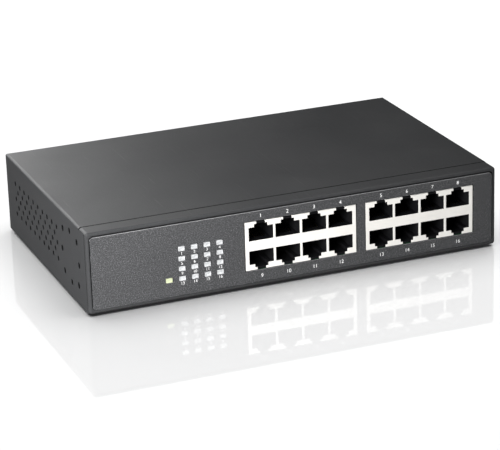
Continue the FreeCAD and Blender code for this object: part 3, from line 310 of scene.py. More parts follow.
def settle(piece, material, stands=()):
    # place goes into the mesh, then the piece joins the frame
    selectOnly(piece)
    placeIntoMesh()
    piece.data.materials.clear()
    piece.data.materials.append(material)
    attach(piece, "root")
    if stands:
        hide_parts(*stands)
    return piece


# shader helpers


def addNode(tree, kind, inputs=None, **settings):
    node = tree.nodes.new(kind)
    for key, setting in settings.items():
        setattr(node, key, setting)
    for key, setting in (inputs or {}).items():
        if isinstance(setting, bpy.types.NodeSocket):
            tree.links.new(setting, node.inputs[key])
        else:
            node.inputs[key].default_value = setting
    return node


def mathNode(tree, operation, *terms, clamp=False):
    inputs = dict(enumerate(terms))
    return addNode(tree, "ShaderNodeMath", inputs, operation=operation, use_clamp=clamp).outputs[0]


def mapRange(tree, amount, low, high, newLow=0.0, newHigh=1.0):
    inputs = {"Value": amount, "From Min": low, "From Max": high, "To Min": newLow, "To Max": newHigh}
    return addNode(tree, "ShaderNodeMapRange", inputs).outputs["Result"]


def mixColor(tree, amount, first, second):
    # a plain colour is given as three numbers
    inputs = {0: amount}
    for key, color in ((6, first), (7, second)):
        inputs[key] = (*color, 1.0) if isinstance(color, tuple) else color
    return addNode(tree, "ShaderNodeMix", inputs, data_type="RGBA").outputs[2]


def noise(tree, vector, scale, detail, **more):
    inputs = {"Vector": vector, "Scale": scale, "Detail": detail}
    for key, setting in more.items():
        inputs[key.title()] = setting
    return addNode(tree, "ShaderNodeTexNoise", inputs).outputs["Fac"]


def heightOf(tree, vector):
    return addNode(tree, "ShaderNodeSeparateXYZ", {0: vector}).outputs["Z"]


def surfaceNormal(tree):
    return addNode(tree, "ShaderNodeNewGeometry").outputs["Normal"]


def newGroup(name, inputs, outputs):
    group = bpy.data.node_groups.new(name, "ShaderNodeTree")
    for label, kind, setting in inputs:
        socket = group.interface.new_socket(label, in_out="INPUT", socket_type="NodeSocket" + kind)
        if setting is not None:
            socket.default_value = setting
    for label, kind in outputs:
        group.interface.new_socket(label, in_out="OUTPUT", socket_type="NodeSocket" + kind)
    start = group.nodes.new("NodeGroupInput")
    end = group.nodes.new("NodeGroupOutput")
    return group, start.outputs, end.inputs


def placeGroup(tree, group, inputs):
    return addNode(tree, "ShaderNodeGroup", inputs, node_tree=group).outputs


# effects that several materials share


def makePowderGroup():
    # fine orange peel for the height, slow blotches for tone and gloss
    group, start, end = newGroup(
        "powderCoat",
        [("Vector", "Vector", None), ("Grain Size", "Float", 0.0006), ("Blotch Size", "Float", 0.03)],
        [("Height", "Float"), ("Blotch", "Float"), ("Speckle", "Float"), ("Pit", "Float")],
    )
    place = start["Vector"]
    grainScale = mathNode(group, "DIVIDE", 1.0, start["Grain Size"])
    blotchScale = mathNode(group, "DIVIDE", 1.0, start["Blotch Size"])
    peel = noise(group, place, grainScale, 2.0, roughness=0.55)
    cells = addNode(group, "ShaderNodeTexVoronoi", {"Vector": place, "Scale": grainScale},
                    feature="SMOOTH_F1")
    blotch = noise(group, place, blotchScale, 3.0, roughness=0.6)
    height = mathNode(group, "MULTIPLY_ADD", cells.outputs["Distance"], 0.5, peel)
    group.links.new(height, end["Height"])
    group.links.new(mapRange(group, blotch, 0.3, 0.7), end["Blotch"])
    group.links.new(mapRange(group, peel, 0.52, 0.72), end["Speckle"])
    group.links.new(mapRange(group, peel, 0.48, 0.30), end["Pit"])
    return group


def makeWearAndShadeGroup():
    # a mask along edges, broken up so that it looks rubbed by hand, and a painted shade mask in narrow
    # joints, holes and seams, taken from ambient occlusion
    group, start, end = newGroup(
        "edgeWearAndShade",
        [("Vector", "Vector", None), ("Radius", "Float", 0.0004), ("Amount", "Float", 1.0)],
        [("Mask", "Float"), ("CreviceShade", "Float"), ("Soft Normal", "Vector")],
    )
    rounded = addNode(group, "ShaderNodeBevel", {"Radius": start["Radius"]}, samples=6).outputs["Normal"]
    facing = addNode(group, "ShaderNodeVectorMath", {0: rounded, 1: surfaceNormal(group)},
                     operation="DOT_PRODUCT")
    edge = mapRange(group, facing.outputs["Value"], 0.995, 0.80)
    breakup = noise(group, start["Vector"], 320.0, 4.0)
    rubbed = mapRange(group, breakup, 0.35, 0.65, 0.25, 1.0)
    mask = mathNode(group, "MULTIPLY", mathNode(group, "MULTIPLY", edge, rubbed), start["Amount"], clamp=True)
    hollow = addNode(group, "ShaderNodeAmbientOcclusion", {"Distance": 0.0026}, samples=8).outputs["AO"]
    offFloor = mapRange(group, heightOf(group, start["Vector"]), 0.0035, 0.006)  # no painted shade in the lowest few millimetres, where the floor alone would darken the lip
    creviceShade = mathNode(group, "MULTIPLY", mapRange(group, hollow, 0.95, 0.80), offFloor)
    group.links.new(mask, end["Mask"])
    group.links.new(creviceShade, end["CreviceShade"])
    group.links.new(rounded, end["Soft Normal"])
    return group


def makeDustGroup():
    # settled dust on faces that look up
    group, start, end = newGroup(
        "settledDust",
        [("Vector", "Vector", None), ("Amount", "Float", 0.5)],
        [("Mask", "Float")],
    )
    upward = mapRange(group, heightOf(group, surfaceNormal(group)), 0.6, 1.0)
    cloud = mapRange(group, noise(group, start["Vector"], 26.0, 5.0), 0.4, 0.7)
    specks = mapRange(group, noise(group, start["Vector"], 1500.0, 1.0), 0.45, 0.75)
    settled = mathNode(group, "MULTIPLY", upward, mathNode(group, "MULTIPLY", cloud, specks))
    mask = mathNode(group, "MULTIPLY", settled, start["Amount"], clamp=True)
    group.links.new(mask, end["Mask"])
    return group


def makeHandlingGroup():
    # faint smears and hair scratches that change only the gloss
    group, start, end = newGroup(
        "handlingMarks",
        [("Vector", "Vector", None), ("Smear Size", "Float", 0.04)],
        [("Smear", "Float"), ("Scratch", "Float")],
    )
    scale = mathNode(group, "DIVIDE", 1.0, start["Smear Size"])
    smear = noise(group, start["Vector"], scale, 4.0, distortion=1.2)
    stretched = addNode(group, "ShaderNodeMapping", {
        "Vector": start["Vector"], "Rotation": (0.3, 0.5, 0.9), "Scale": (1400.0, 25.0, 60.0),
    })
    hairs = noise(group, stretched.outputs["Vector"], 1.0, 1.0, distortion=0.4)
    group.links.new(mapRange(group, smear, 0.35, 0.68), end["Smear"])
    group.links.new(mapRange(group, hairs, 0.69, 0.76), end["Scratch"])
    return group


def makeRolledGroup():
    # rolling lines of sheet metal along one direction
    group, start, end = newGroup(
        "rolledLines",
        [("Vector", "Vector", None), ("Stretch", "Vector", (20.0, 900.0, 900.0))],
        [("Line", "Float"), ("Cloud", "Float")],
    )
    terms = {0: start["Vector"], 1: start["Stretch"]}
    stretched = addNode(group, "ShaderNodeVectorMath", terms, operation="MULTIPLY").outputs["Vector"]
    group.links.new(noise(group, stretched, 1.0, 5.0, roughness=0.65), end["Line"])
    group.links.new(mapRange(group, noise(group, start["Vector"], 90.0, 3.0), 0.3, 0.7), end["Cloud"])
    return group


powderCoat = makePowderGroup()
edgeWearAndShade = makeWearAndShadeGroup()
settledDust = makeDustGroup()
handlingMarks = makeHandlingGroup()
rolledLines = makeRolledGroup()


# materials


def newMaterial(name):
    material = bpy.data.materials.new(name)
    material.use_nodes = True
    tree = material.node_tree
    shade = tree.nodes["Principled BSDF"]
    place = addNode(tree, "ShaderNodeTexCoord").outputs["Object"]
    return material, tree, shade, place


def setBump(tree, shade, height, strength, distance, normal=None):
    inputs = {"Height": height, "Strength": strength, "Distance": distance}
    if normal is not None:
        inputs["Normal"] = normal
    bump = addNode(tree, "ShaderNodeBump", inputs)
    tree.links.new(bump.outputs["Normal"], shade.inputs["Normal"])


def paintedSteel(name, look):
    # sprayed or printed steel: speckled grain, rubbed edges, painted shade in joints, holes and seams, a
    # painted highlight on faces that look up where a rim colour is given, and a little dust
    material, tree, shade, place = newMaterial(name)
    powder = placeGroup(tree, powderCoat, {"Vector": place, "Grain Size": look["grain"], "Blotch Size": 0.05})
    wear = placeGroup(tree, edgeWearAndShade, {"Vector": place, "Radius": look["edge"], "Amount": look["wear"]})
    dust = placeGroup(tree, settledDust, {"Vector": place, "Amount": look["dust"]})
    marks = placeGroup(tree, handlingMarks, {"Vector": place, "Smear Size": 0.05})
    color = mixColor(tree, powder["Blotch"], look["dark"], look["light"])
    for mask in ("Speckle", "Pit"):
        shown = mathNode(tree, "MULTIPLY", powder[mask], look["fleck"])
        color = mixColor(tree, shown, color, look[mask])
    color = mixColor(tree, dust["Mask"], color, (0.30, 0.29, 0.27))
    color = mixColor(tree, wear["Mask"], color, look["worn"])
    # painted shade: near black wherever ambient occlusion finds narrow joints, holes and seams
    color = mixColor(tree, wear["CreviceShade"], color, (0.002, 0.002, 0.002))
    if "rim" in look:
        # painted highlight: faces that look up, such as the film's cut top edge, get the paler rim colour
        upward = mapRange(tree, heightOf(tree, surfaceNormal(tree)), 0.15, 0.5)
        color = mixColor(tree, upward, color, look["rim"])
    tree.links.new(color, shade.inputs["Base Color"])
    gloss = mapRange(tree, powder["Blotch"], 0.0, 1.0, look["rough"] - 0.02, look["rough"] + 0.02)
    gloss = mathNode(tree, "MULTIPLY_ADD", marks["Smear"], 0.035, gloss)
    gloss = mathNode(tree, "MULTIPLY_ADD", marks["Scratch"], -0.08, gloss)
    gloss = mathNode(tree, "MULTIPLY_ADD", wear["CreviceShade"], 0.4, gloss, clamp=True)
    tree.links.new(gloss, shade.inputs["Roughness"])
    shade.inputs["Specular IOR Level"].default_value = look["shine"]
    setBump(tree, shade, powder["Height"], look["bump"], look["grain"] * 0.12, wear["Soft Normal"])
    return material


casePaint = paintedSteel("charcoalPowderCoat", {
    "dark": (0.022, 0.0225, 0.0235), "light": (0.027, 0.0275, 0.0285), "worn": (0.07, 0.07, 0.073),
    "Speckle": (0.050, 0.051, 0.053), "Pit": (0.013, 0.013, 0.013), "fleck": 0.35,
    "grain": 0.00045, "bump": 0.35, "rough": 0.50, "shine": 0.5, "edge": 0.0003, "wear": 0.12, "dust": 0.06,
})
frontFilm = paintedSteel("grainedFilm", {
    "dark": (0.031, 0.0315, 0.033), "light": (0.035, 0.0355, 0.037), "worn": (0.07, 0.07, 0.073),
    "Speckle": (0.14, 0.14, 0.143), "Pit": (0.006, 0.006, 0.006), "fleck": 0.8,
    "grain": 0.0005, "bump": 0.6, "rough": 0.48, "shine": 0.5, "edge": 0.0002, "wear": 0.08, "dust": 0.0,
    # rim: colour of the painted highlight on the film's faces that look up
    "rim": (0.20, 0.20, 0.205),
})


def platedMetal(name, look):
    material, tree, shade, place = newMaterial(name)
    lines = placeGroup(tree, rolledLines, {"Vector": place, "Stretch": look["stretch"]})
    wear = placeGroup(tree, edgeWearAndShade, {"Vector": place, "Radius": look["edge"], "Amount": look["wear"]})
    color = mixColor(tree, lines["Cloud"], look["dark"], look["light"])
    color = mixColor(tree, mapRange(tree, lines["Line"], 0.45, 0.75, 0.0, 0.35), color, look["line"])
    color = mixColor(tree, wear["Mask"], color, look["worn"])
    tree.links.new(color, shade.inputs["Base Color"])
    shade.inputs["Metallic"].default_value = look["metal"]
    gloss = mapRange(tree, lines["Line"], 0.3, 0.7, look["rough"] - 0.05, look["rough"] + 0.08)
    tree.links.new(gloss, shade.inputs["Roughness"])
    setBump(tree, shade, lines["Line"], look["bump"], 0.00002, wear["Soft Normal"])
    return material


shieldPlate = platedMetal("tinPlate", {
    "dark": (0.68, 0.665, 0.63), "light": (0.74, 0.725, 0.69), "line": (0.62, 0.605, 0.57),
    "worn": (0.84, 0.83, 0.80), "stretch": (40.0, 900.0, 900.0), "edge": 0.0002, "wear": 0.5,
    "metal": 0.30, "rough": 0.38, "bump": 0.25,
})
screwSteel = platedMetal("zincPlate", {
    "dark": (0.50, 0.50, 0.50), "light": (0.62, 0.62, 0.61), "line": (0.42, 0.42, 0.42),
    "worn": (0.78, 0.78, 0.78), "stretch": (400.0, 400.0, 400.0), "edge": 0.00015, "wear": 0.6,
    "metal": 1.0, "rough": 0.34, "bump": 0.25,
})
contactGold = platedMetal("goldPlate", {
    "dark": (0.78, 0.55, 0.20), "light": (0.88, 0.66, 0.27), "line": (0.70, 0.48, 0.17),
    "worn": (0.93, 0.76, 0.38), "stretch": (600.0, 60.0, 600.0), "edge": 0.00005, "wear": 0.3,
    "metal": 1.0, "rough": 0.26, "bump": 0.2,
})
pinPlate = platedMetal("nickelPlate", {
    "dark": (0.62, 0.60, 0.55), "light": (0.74, 0.72, 0.66), "line": (0.55, 0.53, 0.49),
    "worn": (0.85, 0.83, 0.78), "stretch": (300.0, 60.0, 300.0), "edge": 0.0001, "wear": 0.5,
    "metal": 1.0, "rough": 0.28, "bump": 0.25,
})
turnedBrass = platedMetal("turnedBrass", {
    "dark": (0.62, 0.46, 0.20), "light": (0.74, 0.58, 0.28), "line": (0.52, 0.38, 0.16),
    "worn": (0.85, 0.72, 0.42), "stretch": (60.0, 60.0, 1400.0), "edge": 0.00015, "wear": 0.5,
    "metal": 1.0, "rough": 0.32, "bump": 0.35,
})
blackAnodise = platedMetal("blackAnodise", {
    "dark": (0.022, 0.022, 0.024), "light": (0.035, 0.035, 0.038), "line": (0.05, 0.05, 0.054),
    "worn": (0.35, 0.35, 0.36), "stretch": (700.0, 25.0, 700.0), "edge": 0.0002, "wear": 0.45,
    "metal": 0.4, "rough": 0.45, "bump": 0.35,
})
plainAluminium = platedMetal("plainAluminium", {
    "dark": (0.66, 0.67, 0.68), "light": (0.77, 0.77, 0.78), "line": (0.58, 0.59, 0.60),
    "worn": (0.9, 0.9, 0.9), "stretch": (500.0, 30.0, 500.0), "edge": 0.0002, "wear": 0.4,
    "metal": 1.0, "rough": 0.36, "bump": 0.3,
})
drawnSteel = platedMetal("drawnCan", {
    "dark": (0.62, 0.62, 0.61), "light": (0.74, 0.74, 0.73), "line": (0.56, 0.56, 0.56),
    "worn": (0.86, 0.86, 0.85), "stretch": (120.0, 120.0, 900.0), "edge": 0.00015, "wear": 0.4,
    "metal": 1.0, "rough": 0.25, "bump": 0.15,
})
copperWire = platedMetal("enamelledCopper", {
    "dark": (0.50, 0.19, 0.08), "light": (0.64, 0.27, 0.12), "line": (0.38, 0.13, 0.05),
    "worn": (0.80, 0.42, 0.22), "stretch": (200.0, 200.0, 2600.0), "edge": 0.0001, "wear": 0.3,
    "metal": 0.9, "rough": 0.3, "bump": 0.5,
})
print("metals ready")


commonPlastic = {"rough": 0.5, "shine": 0.5, "grain": 0.0003, "bump": 0.3, "edge": 0.00015, "wear": 0.3,
                 "blotch": 0.008}


def mouldedPlastic(name, dark, light, worn, **own):
    # what a plastic doesn't say of itself comes from commonPlastic
    look = {**commonPlastic, **own}
    material, tree, shade, place = newMaterial(name)
    sizes = {"Vector": place, "Grain Size": look["grain"], "Blotch Size": look["blotch"]}
    grain = placeGroup(tree, powderCoat, sizes)
    wear = placeGroup(tree, edgeWearAndShade, {"Vector": place, "Radius": look["edge"], "Amount": look["wear"]})
    marks = placeGroup(tree, handlingMarks, {"Vector": place, "Smear Size": 0.02})
    color = mixColor(tree, grain["Blotch"], dark, light)
    color = mixColor(tree, wear["Mask"], color, worn)
    tree.links.new(color, shade.inputs["Base Color"])
    gloss = mapRange(tree, marks["Smear"], 0.0, 1.0, look["rough"] - 0.04, look["rough"] + 0.06)
    tree.links.new(gloss, shade.inputs["Roughness"])
    shade.inputs["Specular IOR Level"].default_value = look["shine"]
    setBump(tree, shade, grain["Height"], look["bump"], look["grain"] * 0.1, wear["Soft Normal"])
    return material


def grey(tone):
    return (tone, tone, tone)


jackPlastic = mouldedPlastic("jackMoulding", (0.0035, 0.0035, 0.004), (0.006, 0.006, 0.0065), grey(0.014),
                             rough=0.65, shine=0.1)
holderBlack = mouldedPlastic("lampHolderBlack", grey(0.012), grey(0.018), grey(0.05))
inletBlack = mouldedPlastic("inletMoulding", grey(0.013), grey(0.020), grey(0.06), rough=0.42, grain=0.0004)
footRubber = mouldedPlastic("footRubber", grey(0.014), (0.024, 0.024, 0.023), (0.06, 0.06, 0.058),
                            rough=0.78, shine=0.3, grain=0.0005, bump=0.6)
chipBlack = mouldedPlastic("chipEpoxy", (0.020, 0.020, 0.021), (0.030, 0.030, 0.031), grey(0.06),
                           rough=0.55, grain=0.0002)
moduleBlack = mouldedPlastic("moduleEpoxy", (0.026, 0.026, 0.027), (0.040, 0.040, 0.041), grey(0.07),
                             rough=0.5, grain=0.00025)
ferriteGrey = mouldedPlastic("ferrite", (0.035, 0.035, 0.038), (0.055, 0.055, 0.058), grey(0.10),
                             rough=0.48, grain=0.0002, bump=0.5)
windingTape = mouldedPlastic("windingTape", (0.62, 0.45, 0.06), (0.72, 0.54, 0.09), (0.80, 0.65, 0.20),
                             rough=0.3, grain=0.0008, bump=0.2, blotch=0.004)
sleeveBlack = mouldedPlastic("shrinkSleeve", (0.018, 0.018, 0.026), (0.028, 0.028, 0.038), (0.08, 0.08, 0.09),
                             rough=0.28, grain=0.0006, bump=0.12)
fuseBrown = mouldedPlastic("fuseCase", (0.10, 0.045, 0.020), (0.14, 0.065, 0.030), (0.22, 0.12, 0.06),
                           rough=0.38)
headerNylon = mouldedPlastic("headerNylon", (0.70, 0.67, 0.58), (0.78, 0.75, 0.67), (0.85, 0.83, 0.77),
                             rough=0.45)
insulatorFilm = mouldedPlastic("insulatingSheet", (0.62, 0.61, 0.55), (0.70, 0.69, 0.63), (0.78, 0.77, 0.72),
                               rough=0.25, bump=0.1)
print("plastics ready")


def milkyLens(name, color, deep, glow):
    # milky plastic; a lit lens glows in its own colour
    material, tree, shade, place = newMaterial(name)
    cloud = noise(tree, place, 900.0, 3.0)
    toned = mixColor(tree, mapRange(tree, cloud, 0.35, 0.65), deep, color)
    tree.links.new(toned, shade.inputs["Base Color"])
    tree.links.new(mapRange(tree, cloud, 0.3, 0.7, 0.22, 0.34), shade.inputs["Roughness"])
    shade.inputs["Subsurface Weight"].default_value = 0.25
    shade.inputs["Subsurface Scale"].default_value = 0.001
    shade.inputs["Subsurface Radius"].default_value = (1.0, 1.0, 1.0)
    if glow:
        shade.inputs["Emission Strength"].default_value = glow
        tree.links.new(toned, shade.inputs["Emission Color"])
    setBump(tree, shade, cloud, 0.15, 0.00003)
    return material


lensWhite = milkyLens("milkyLens", (0.38, 0.385, 0.39), (0.31, 0.315, 0.32), 0.0)
lensLit = milkyLens("litLens", (0.345, 0.37, 0.245), (0.31, 0.34, 0.21), 0.10)


def wireJacket(name, color, stripe=None):
    material, tree, shade, place = newMaterial(name)
    grain = placeGroup(tree, powderCoat, {"Vector": place, "Grain Size": 0.0005, "Blotch Size": 0.006})
    darker = tuple(channel * 0.75 for channel in color)
    toned = mixColor(tree, grain["Blotch"], darker, color)
    if stripe:
        wave = addNode(tree, "ShaderNodeTexWave", {"Vector": place, "Scale": 140.0, "Distortion": 0.0},
                       bands_direction="DIAGONAL")
        toned = mixColor(tree, mapRange(tree, wave.outputs["Fac"], 0.60, 0.66), toned, stripe)
    tree.links.new(toned, shade.inputs["Base Color"])
    tree.links.new(mapRange(tree, grain["Blotch"], 0.0, 1.0, 0.32, 0.44), shade.inputs["Roughness"])
    setBump(tree, shade, grain["Height"], 0.2, 0.00003)
    return material


blueJacket = wireJacket("blueJacket", (0.03, 0.13, 0.52))
brownJacket = wireJacket("brownJacket", (0.19, 0.085, 0.04))
earthJacket = wireJacket("earthJacket", (0.10, 0.42, 0.09), stripe=(0.80, 0.72, 0.05))
redJacket = wireJacket("redJacket", (0.55, 0.03, 0.03))
blackJacket = wireJacket("blackJacket", grey(0.022))


def solderMask(name):
    # green mask with copper tracks showing as a slight change of tone
    material, tree, shade, place = newMaterial(name)
    tracks = addNode(tree, "ShaderNodeTexBrick", {
        "Vector": place, "Scale": 260.0, "Mortar Size": 0.06, "Brick Width": 0.9, "Row Height": 0.28,
        "Color1": (0.0, 0.0, 0.0, 1.0), "Color2": (0.25, 0.25, 0.25, 1.0), "Mortar": (1.0, 1.0, 1.0, 1.0),
    })
    weave = placeGroup(tree, powderCoat, {"Vector": place, "Grain Size": 0.0009, "Blotch Size": 0.02})
    toned = mixColor(tree, weave["Blotch"], (0.012, 0.095, 0.035), (0.018, 0.125, 0.048))
    shown = mathNode(tree, "MULTIPLY", tracks.outputs["Color"], 0.5)
    tree.links.new(mixColor(tree, shown, toned, (0.035, 0.20, 0.075)), shade.inputs["Base Color"])
    tree.links.new(mapRange(tree, weave["Blotch"], 0.0, 1.0, 0.26, 0.36), shade.inputs["Roughness"])
    shade.inputs["Coat Weight"].default_value = 0.3
    setBump(tree, shade, tracks.outputs["Fac"], 0.3, 0.00002)
    return material


boardGreen = solderMask("solderMask")


def printingInk(name, color):
    material, tree, shade, place = newMaterial(name)
    grain = placeGroup(tree, powderCoat, {"Vector": place, "Grain Size": 0.00015, "Blotch Size": 0.004})
    darker = tuple(channel * 0.86 for channel in color)
    tree.links.new(mixColor(tree, grain["Blotch"], darker, color), shade.inputs["Base Color"])
    tree.links.new(mapRange(tree, grain["Blotch"], 0.0, 1.0, 0.5, 0.62), shade.inputs["Roughness"])
    return material


portInk = printingInk("whiteInk", grey(0.70))
lampInk = printingInk("greyInk", grey(0.52))


def paleStage(name):
    # white to the eye but dark to the part, so that it throws little light up, and open from below
    material, tree, shade, place = newMaterial(name)
    cloud = noise(tree, place, 3.0, 3.0)
    seen = addNode(tree, "ShaderNodeLightPath").outputs["Is Camera Ray"]
    white = mixColor(tree, cloud, grey(0.93), grey(0.96))
    tree.links.new(mixColor(tree, seen, grey(0.09), white), shade.inputs["Base Color"])
    tree.links.new(mapRange(tree, cloud, 0.3, 0.7, 0.004, 0.012), shade.inputs["Roughness"])
    shade.inputs["Specular IOR Level"].default_value = 0.55
    below = addNode(tree, "ShaderNodeNewGeometry").outputs["Backfacing"]
    clear = addNode(tree, "ShaderNodeBsdfTransparent").outputs[0]
    oneSided = addNode(tree, "ShaderNodeMixShader", {0: below, 1: shade.outputs[0], 2: clear})
    tree.links.new(oneSided.outputs[0], tree.nodes["Material Output"].inputs["Surface"])
    return material


floor.data.materials.append(paleStage("paleStage"))
print("all materials ready")


# case

caseSettings = {
    "coverEdge": 0.00005, "chassisEdge": 0.00006, "filmEdge": 0.00005,
    "seamTrim": 0.0003, "seamReach": 0.001, "seamDeep": 0.0012,
    "filmSink": 0.00005, "filmTrim": 0.00015, "trimReach": 0.002,
    "filmDrop": 0.0005, "dropReach": 0.004, "filmRound": 0.00022,
}

cover = nodeCopy("top_cover", "coverSkin")
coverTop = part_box("top_cover")[1].z
topFront = min(corner.co.y for corner in cover.data.vertices if corner.co.z > coverTop - near)
for corner in cover.data.vertices:
    atFront = corner.co.y < topFront + caseSettings["seamReach"]
    if atFront and corner.co.z > coverTop - caseSettings["seamDeep"]:
        corner.co.y += caseSettings["seamTrim"]  # the open joint across the top reads wider
softEdges(cover, caseSettings["coverEdge"])
settle(cover, casePaint, ["top_cover"])

chassis = nodeCopy("chassis", "chassisSkin")
softEdges(chassis, caseSettings["chassisEdge"])
settle(chassis, casePaint, ["chassis"])

# the film is trimmed all round, and more along its top, where its edge is rounded
filmLow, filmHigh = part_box("front_overlay")
filmMiddle = (filmLow + filmHigh) / 2
film = nodeCopy("front_overlay", "filmSheet")
for corner in film.data.vertices:
    if corner.co.y < filmMiddle.y:
        corner.co.y += caseSettings["filmSink"]
    fromSide = filmHigh.x - abs(corner.co.x)
    fromTop = filmHigh.z - corner.co.z
    fromEdge = min(corner.co.z - filmLow.z, fromTop)
    if fromSide < caseSettings["trimReach"]:
        corner.co.x -= math.copysign(caseSettings["filmTrim"], corner.co.x)
    if fromEdge < caseSettings["trimReach"]:
        corner.co.z -= math.copysign(caseSettings["filmTrim"], corner.co.z - filmMiddle.z)
    corner.co.z -= caseSettings["filmDrop"] * max(0.0, 1.0 - fromTop / caseSettings["dropReach"])
filmTop = max(corner.co.z for corner in film.data.vertices)
filmFront = min(corner.co.y for corner in film.data.vertices)
pickEdges(film, lambda a, b: min(a.z, b.z) > filmTop - near and max(a.y, b.y) < filmFront + near)
bpy.ops.mesh.bevel(offset=caseSettings["filmRound"], segments=2)
objectMode()
softEdges(film, caseSettings["filmEdge"])
settle(film, frontFilm, ["front_overlay"])
filmFace = filmLow.y + caseSettings["filmSink"]
print("case dressed")


# jacks

jackSettings = {"shieldEdge": 0.00008, "housingEdge": 0.00012, "columns": 4, "pitch": 0.01397,
                "openHalf": 0.006, "openMore": 0.0004, "plate": 0.0005}


def columnMiddles(low, high):
    middle = (low.x + high.x) / 2
    outward = (jackSettings["columns"] - 1) / 2
    return [middle + (column - outward) * jackSettings["pitch"] for column in range(jackSettings["columns"])]


def widenOpenings(shield, low, high):
    # the plate's openings stand a little clear of the ports behind them
    for middle in columnMiddles(low, high):
        for corner in shield.data.vertices:
            across = corner.co.x - middle
            onPlate = corner.co.y < low.y + jackSettings["plate"]
            if onPlate and abs(abs(across) - jackSettings["openHalf"]) < near:
                corner.co.x += math.copysign(jackSettings["openMore"], across)


for side in ("left", "right"):
    shield = nodeCopy("jack_shield_" + side, side + "Shield")
    widenOpenings(shield, *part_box("jack_shield_" + side))
    softEdges(shield, jackSettings["shieldEdge"])
    settle(shield, shieldPlate, ["jack_shield_" + side])
    housing = nodeCopy("jack_housing_" + side, side + "Housing")
    softEdges(housing, jackSettings["housingEdge"])
    settle(housing, jackPlastic, ["jack_housing_" + side])
print("jacks dressed")


# lamps

lampSettings = {"columns": 4, "rows": 4, "width": 0.0032, "height": 0.0022, "corner": 0.00015, "rim": 0.0005,
                "dish": 0.00018, "edge": 0.00006}


def makeLens(name, low, high):
    # a light pipe: crisp outline, its end face dished a little
    lens = addBox(name, low, high)
    pickEdges(lens, lambda a, b: abs(a.y - b.y) > (high.y - low.y) / 2)
    bpy.ops.mesh.bevel(offset=lampSettings["corner"], segments=3)
    pickFaces(lens, lambda centre, normal: normal.y < -0.9)
    bpy.ops.mesh.inset(thickness=lampSettings["rim"])
    bpy.ops.transform.translate(value=(0.0, lampSettings["dish"], 0.0))
    objectMode()
    softEdges(lens, lampSettings["edge"])
    return lens


lensLow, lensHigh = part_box("lamp_lenses")
lensWide, lensTall = lampSettings["width"], lampSettings["height"]
columnStep = (lensHigh.x - lensLow.x - lensWide) / (lampSettings["columns"] - 1)
rowStep = (lensHigh.z - lensLow.z - lensTall) / (lampSettings["rows"] - 1)
firstHigh = Vector((lensLow.x + lensWide, lensHigh.y, lensLow.z + lensTall))
lensSpots = []
for column in range(lampSettings["columns"]):
    for row in range(lampSettings["rows"]):
        lensSpots.append(Matrix.Translation((column * columnStep, 0.0, row * rowStep)))
lenses = placeCopies("lampLenses", makeLens("lensModel", lensLow, firstHigh), lensSpots)
settle(lenses, lensWhite, ["lamp_lenses"])
settle(makeLens("powerLens", *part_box("power_lamp_lens")), lensLit, ["power_lamp_lens"])
print("lamps made")


# printing on the film

printSettings = {"portHeight": 0.00185, "lampHeight": 0.0015, "lift": 0.00002, "thick": 0.00001,
                 "thinner": 0.002, "digit": 0.7, "upper": 0.0369, "lower": 0.0059, "belowLamp": 0.0025}


def printNumber(text, x, z, height):
    bpy.ops.object.text_add(location=(0.0, 0.0, 0.0))
    word = bpy.context.object
    word.data.body = text
    word.data.size = height / printSettings["digit"]  # a digit's share of the type size
    word.data.align_x = "CENTER"
    word.data.align_y = "CENTER"
    word.data.extrude = printSettings["thick"] / 2
    word.data.offset = -printSettings["thinner"] * height
    selectOnly(word)
    bpy.ops.object.convert(target="MESH")
    word = bpy.context.object
    word.location = (x, filmFace - printSettings["lift"] / 2, z)
    word.rotation_euler = (math.radians(90), 0.0, 0.0)
    placeIntoMesh()
    return word


portWords = []
for rowHeight in (printSettings["upper"], printSettings["lower"]):
    for side in ("left", "right"):
        for x in columnMiddles(*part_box("jack_shield_" + side)):
            portWords.append(printNumber(str(len(portWords) + 1), x, rowHeight, printSettings["portHeight"]))
settle(joinPieces("portNumbers", portWords), portInk)

lampWords = []
for row in range(lampSettings["rows"]):
    for column in range(lampSettings["columns"]):
        x = lensLow.x + lensWide / 2 + column * columnStep
        z = lensHigh.z - lensTall / 2 - row * rowStep - printSettings["belowLamp"]
        lampWords.append(printNumber(str(len(lampWords) + 1), x, z, printSettings["lampHeight"]))
settle(joinPieces("lampNumbers", lampWords), lampInk)
print("numbers printed")


# screws

screwSettings = {"sides": 28, "head": 0.0028, "tall": 0.0013, "crown": 0.0006, "shank": 0.0015,
                 "long": 0.005, "tip": 0.0004, "cross": (0.00155, 0.000325, 0.0007), "edge": 0.00006,
                 "firstTurn": 20, "nextTurn": 47}


def makeScrew():
    # a pan head with a cross recess, standing on z = 0 with its shank below
    tall = screwSettings["tall"]
    screw = addRod("screwModel", screwSettings["sides"], screwSettings["head"], tall)
    pickEdges(screw, lambda a, b: min(a.z, b.z) > tall - touch)
    bpy.ops.mesh.bevel(offset=screwSettings["crown"], segments=4)
    pickFaces(screw, lambda centre, normal: normal.z < -0.9)
    bpy.ops.mesh.inset(thickness=screwSettings["head"] - screwSettings["shank"])
    bpy.ops.mesh.extrude_region_move(TRANSFORM_OT_translate={"value": (0.0, 0.0, -screwSettings["long"])})
    bpy.ops.mesh.inset(thickness=screwSettings["tip"])
    bpy.ops.mesh.extrude_region_move(TRANSFORM_OT_translate={"value": (0.0, 0.0, -screwSettings["tip"])})
    objectMode()
    cutCross(screw, Vector((0.0, 0.0, tall)), Vector(screwSettings["cross"]))
    softEdges(screw, screwSettings["edge"], segments=1)
    return screw


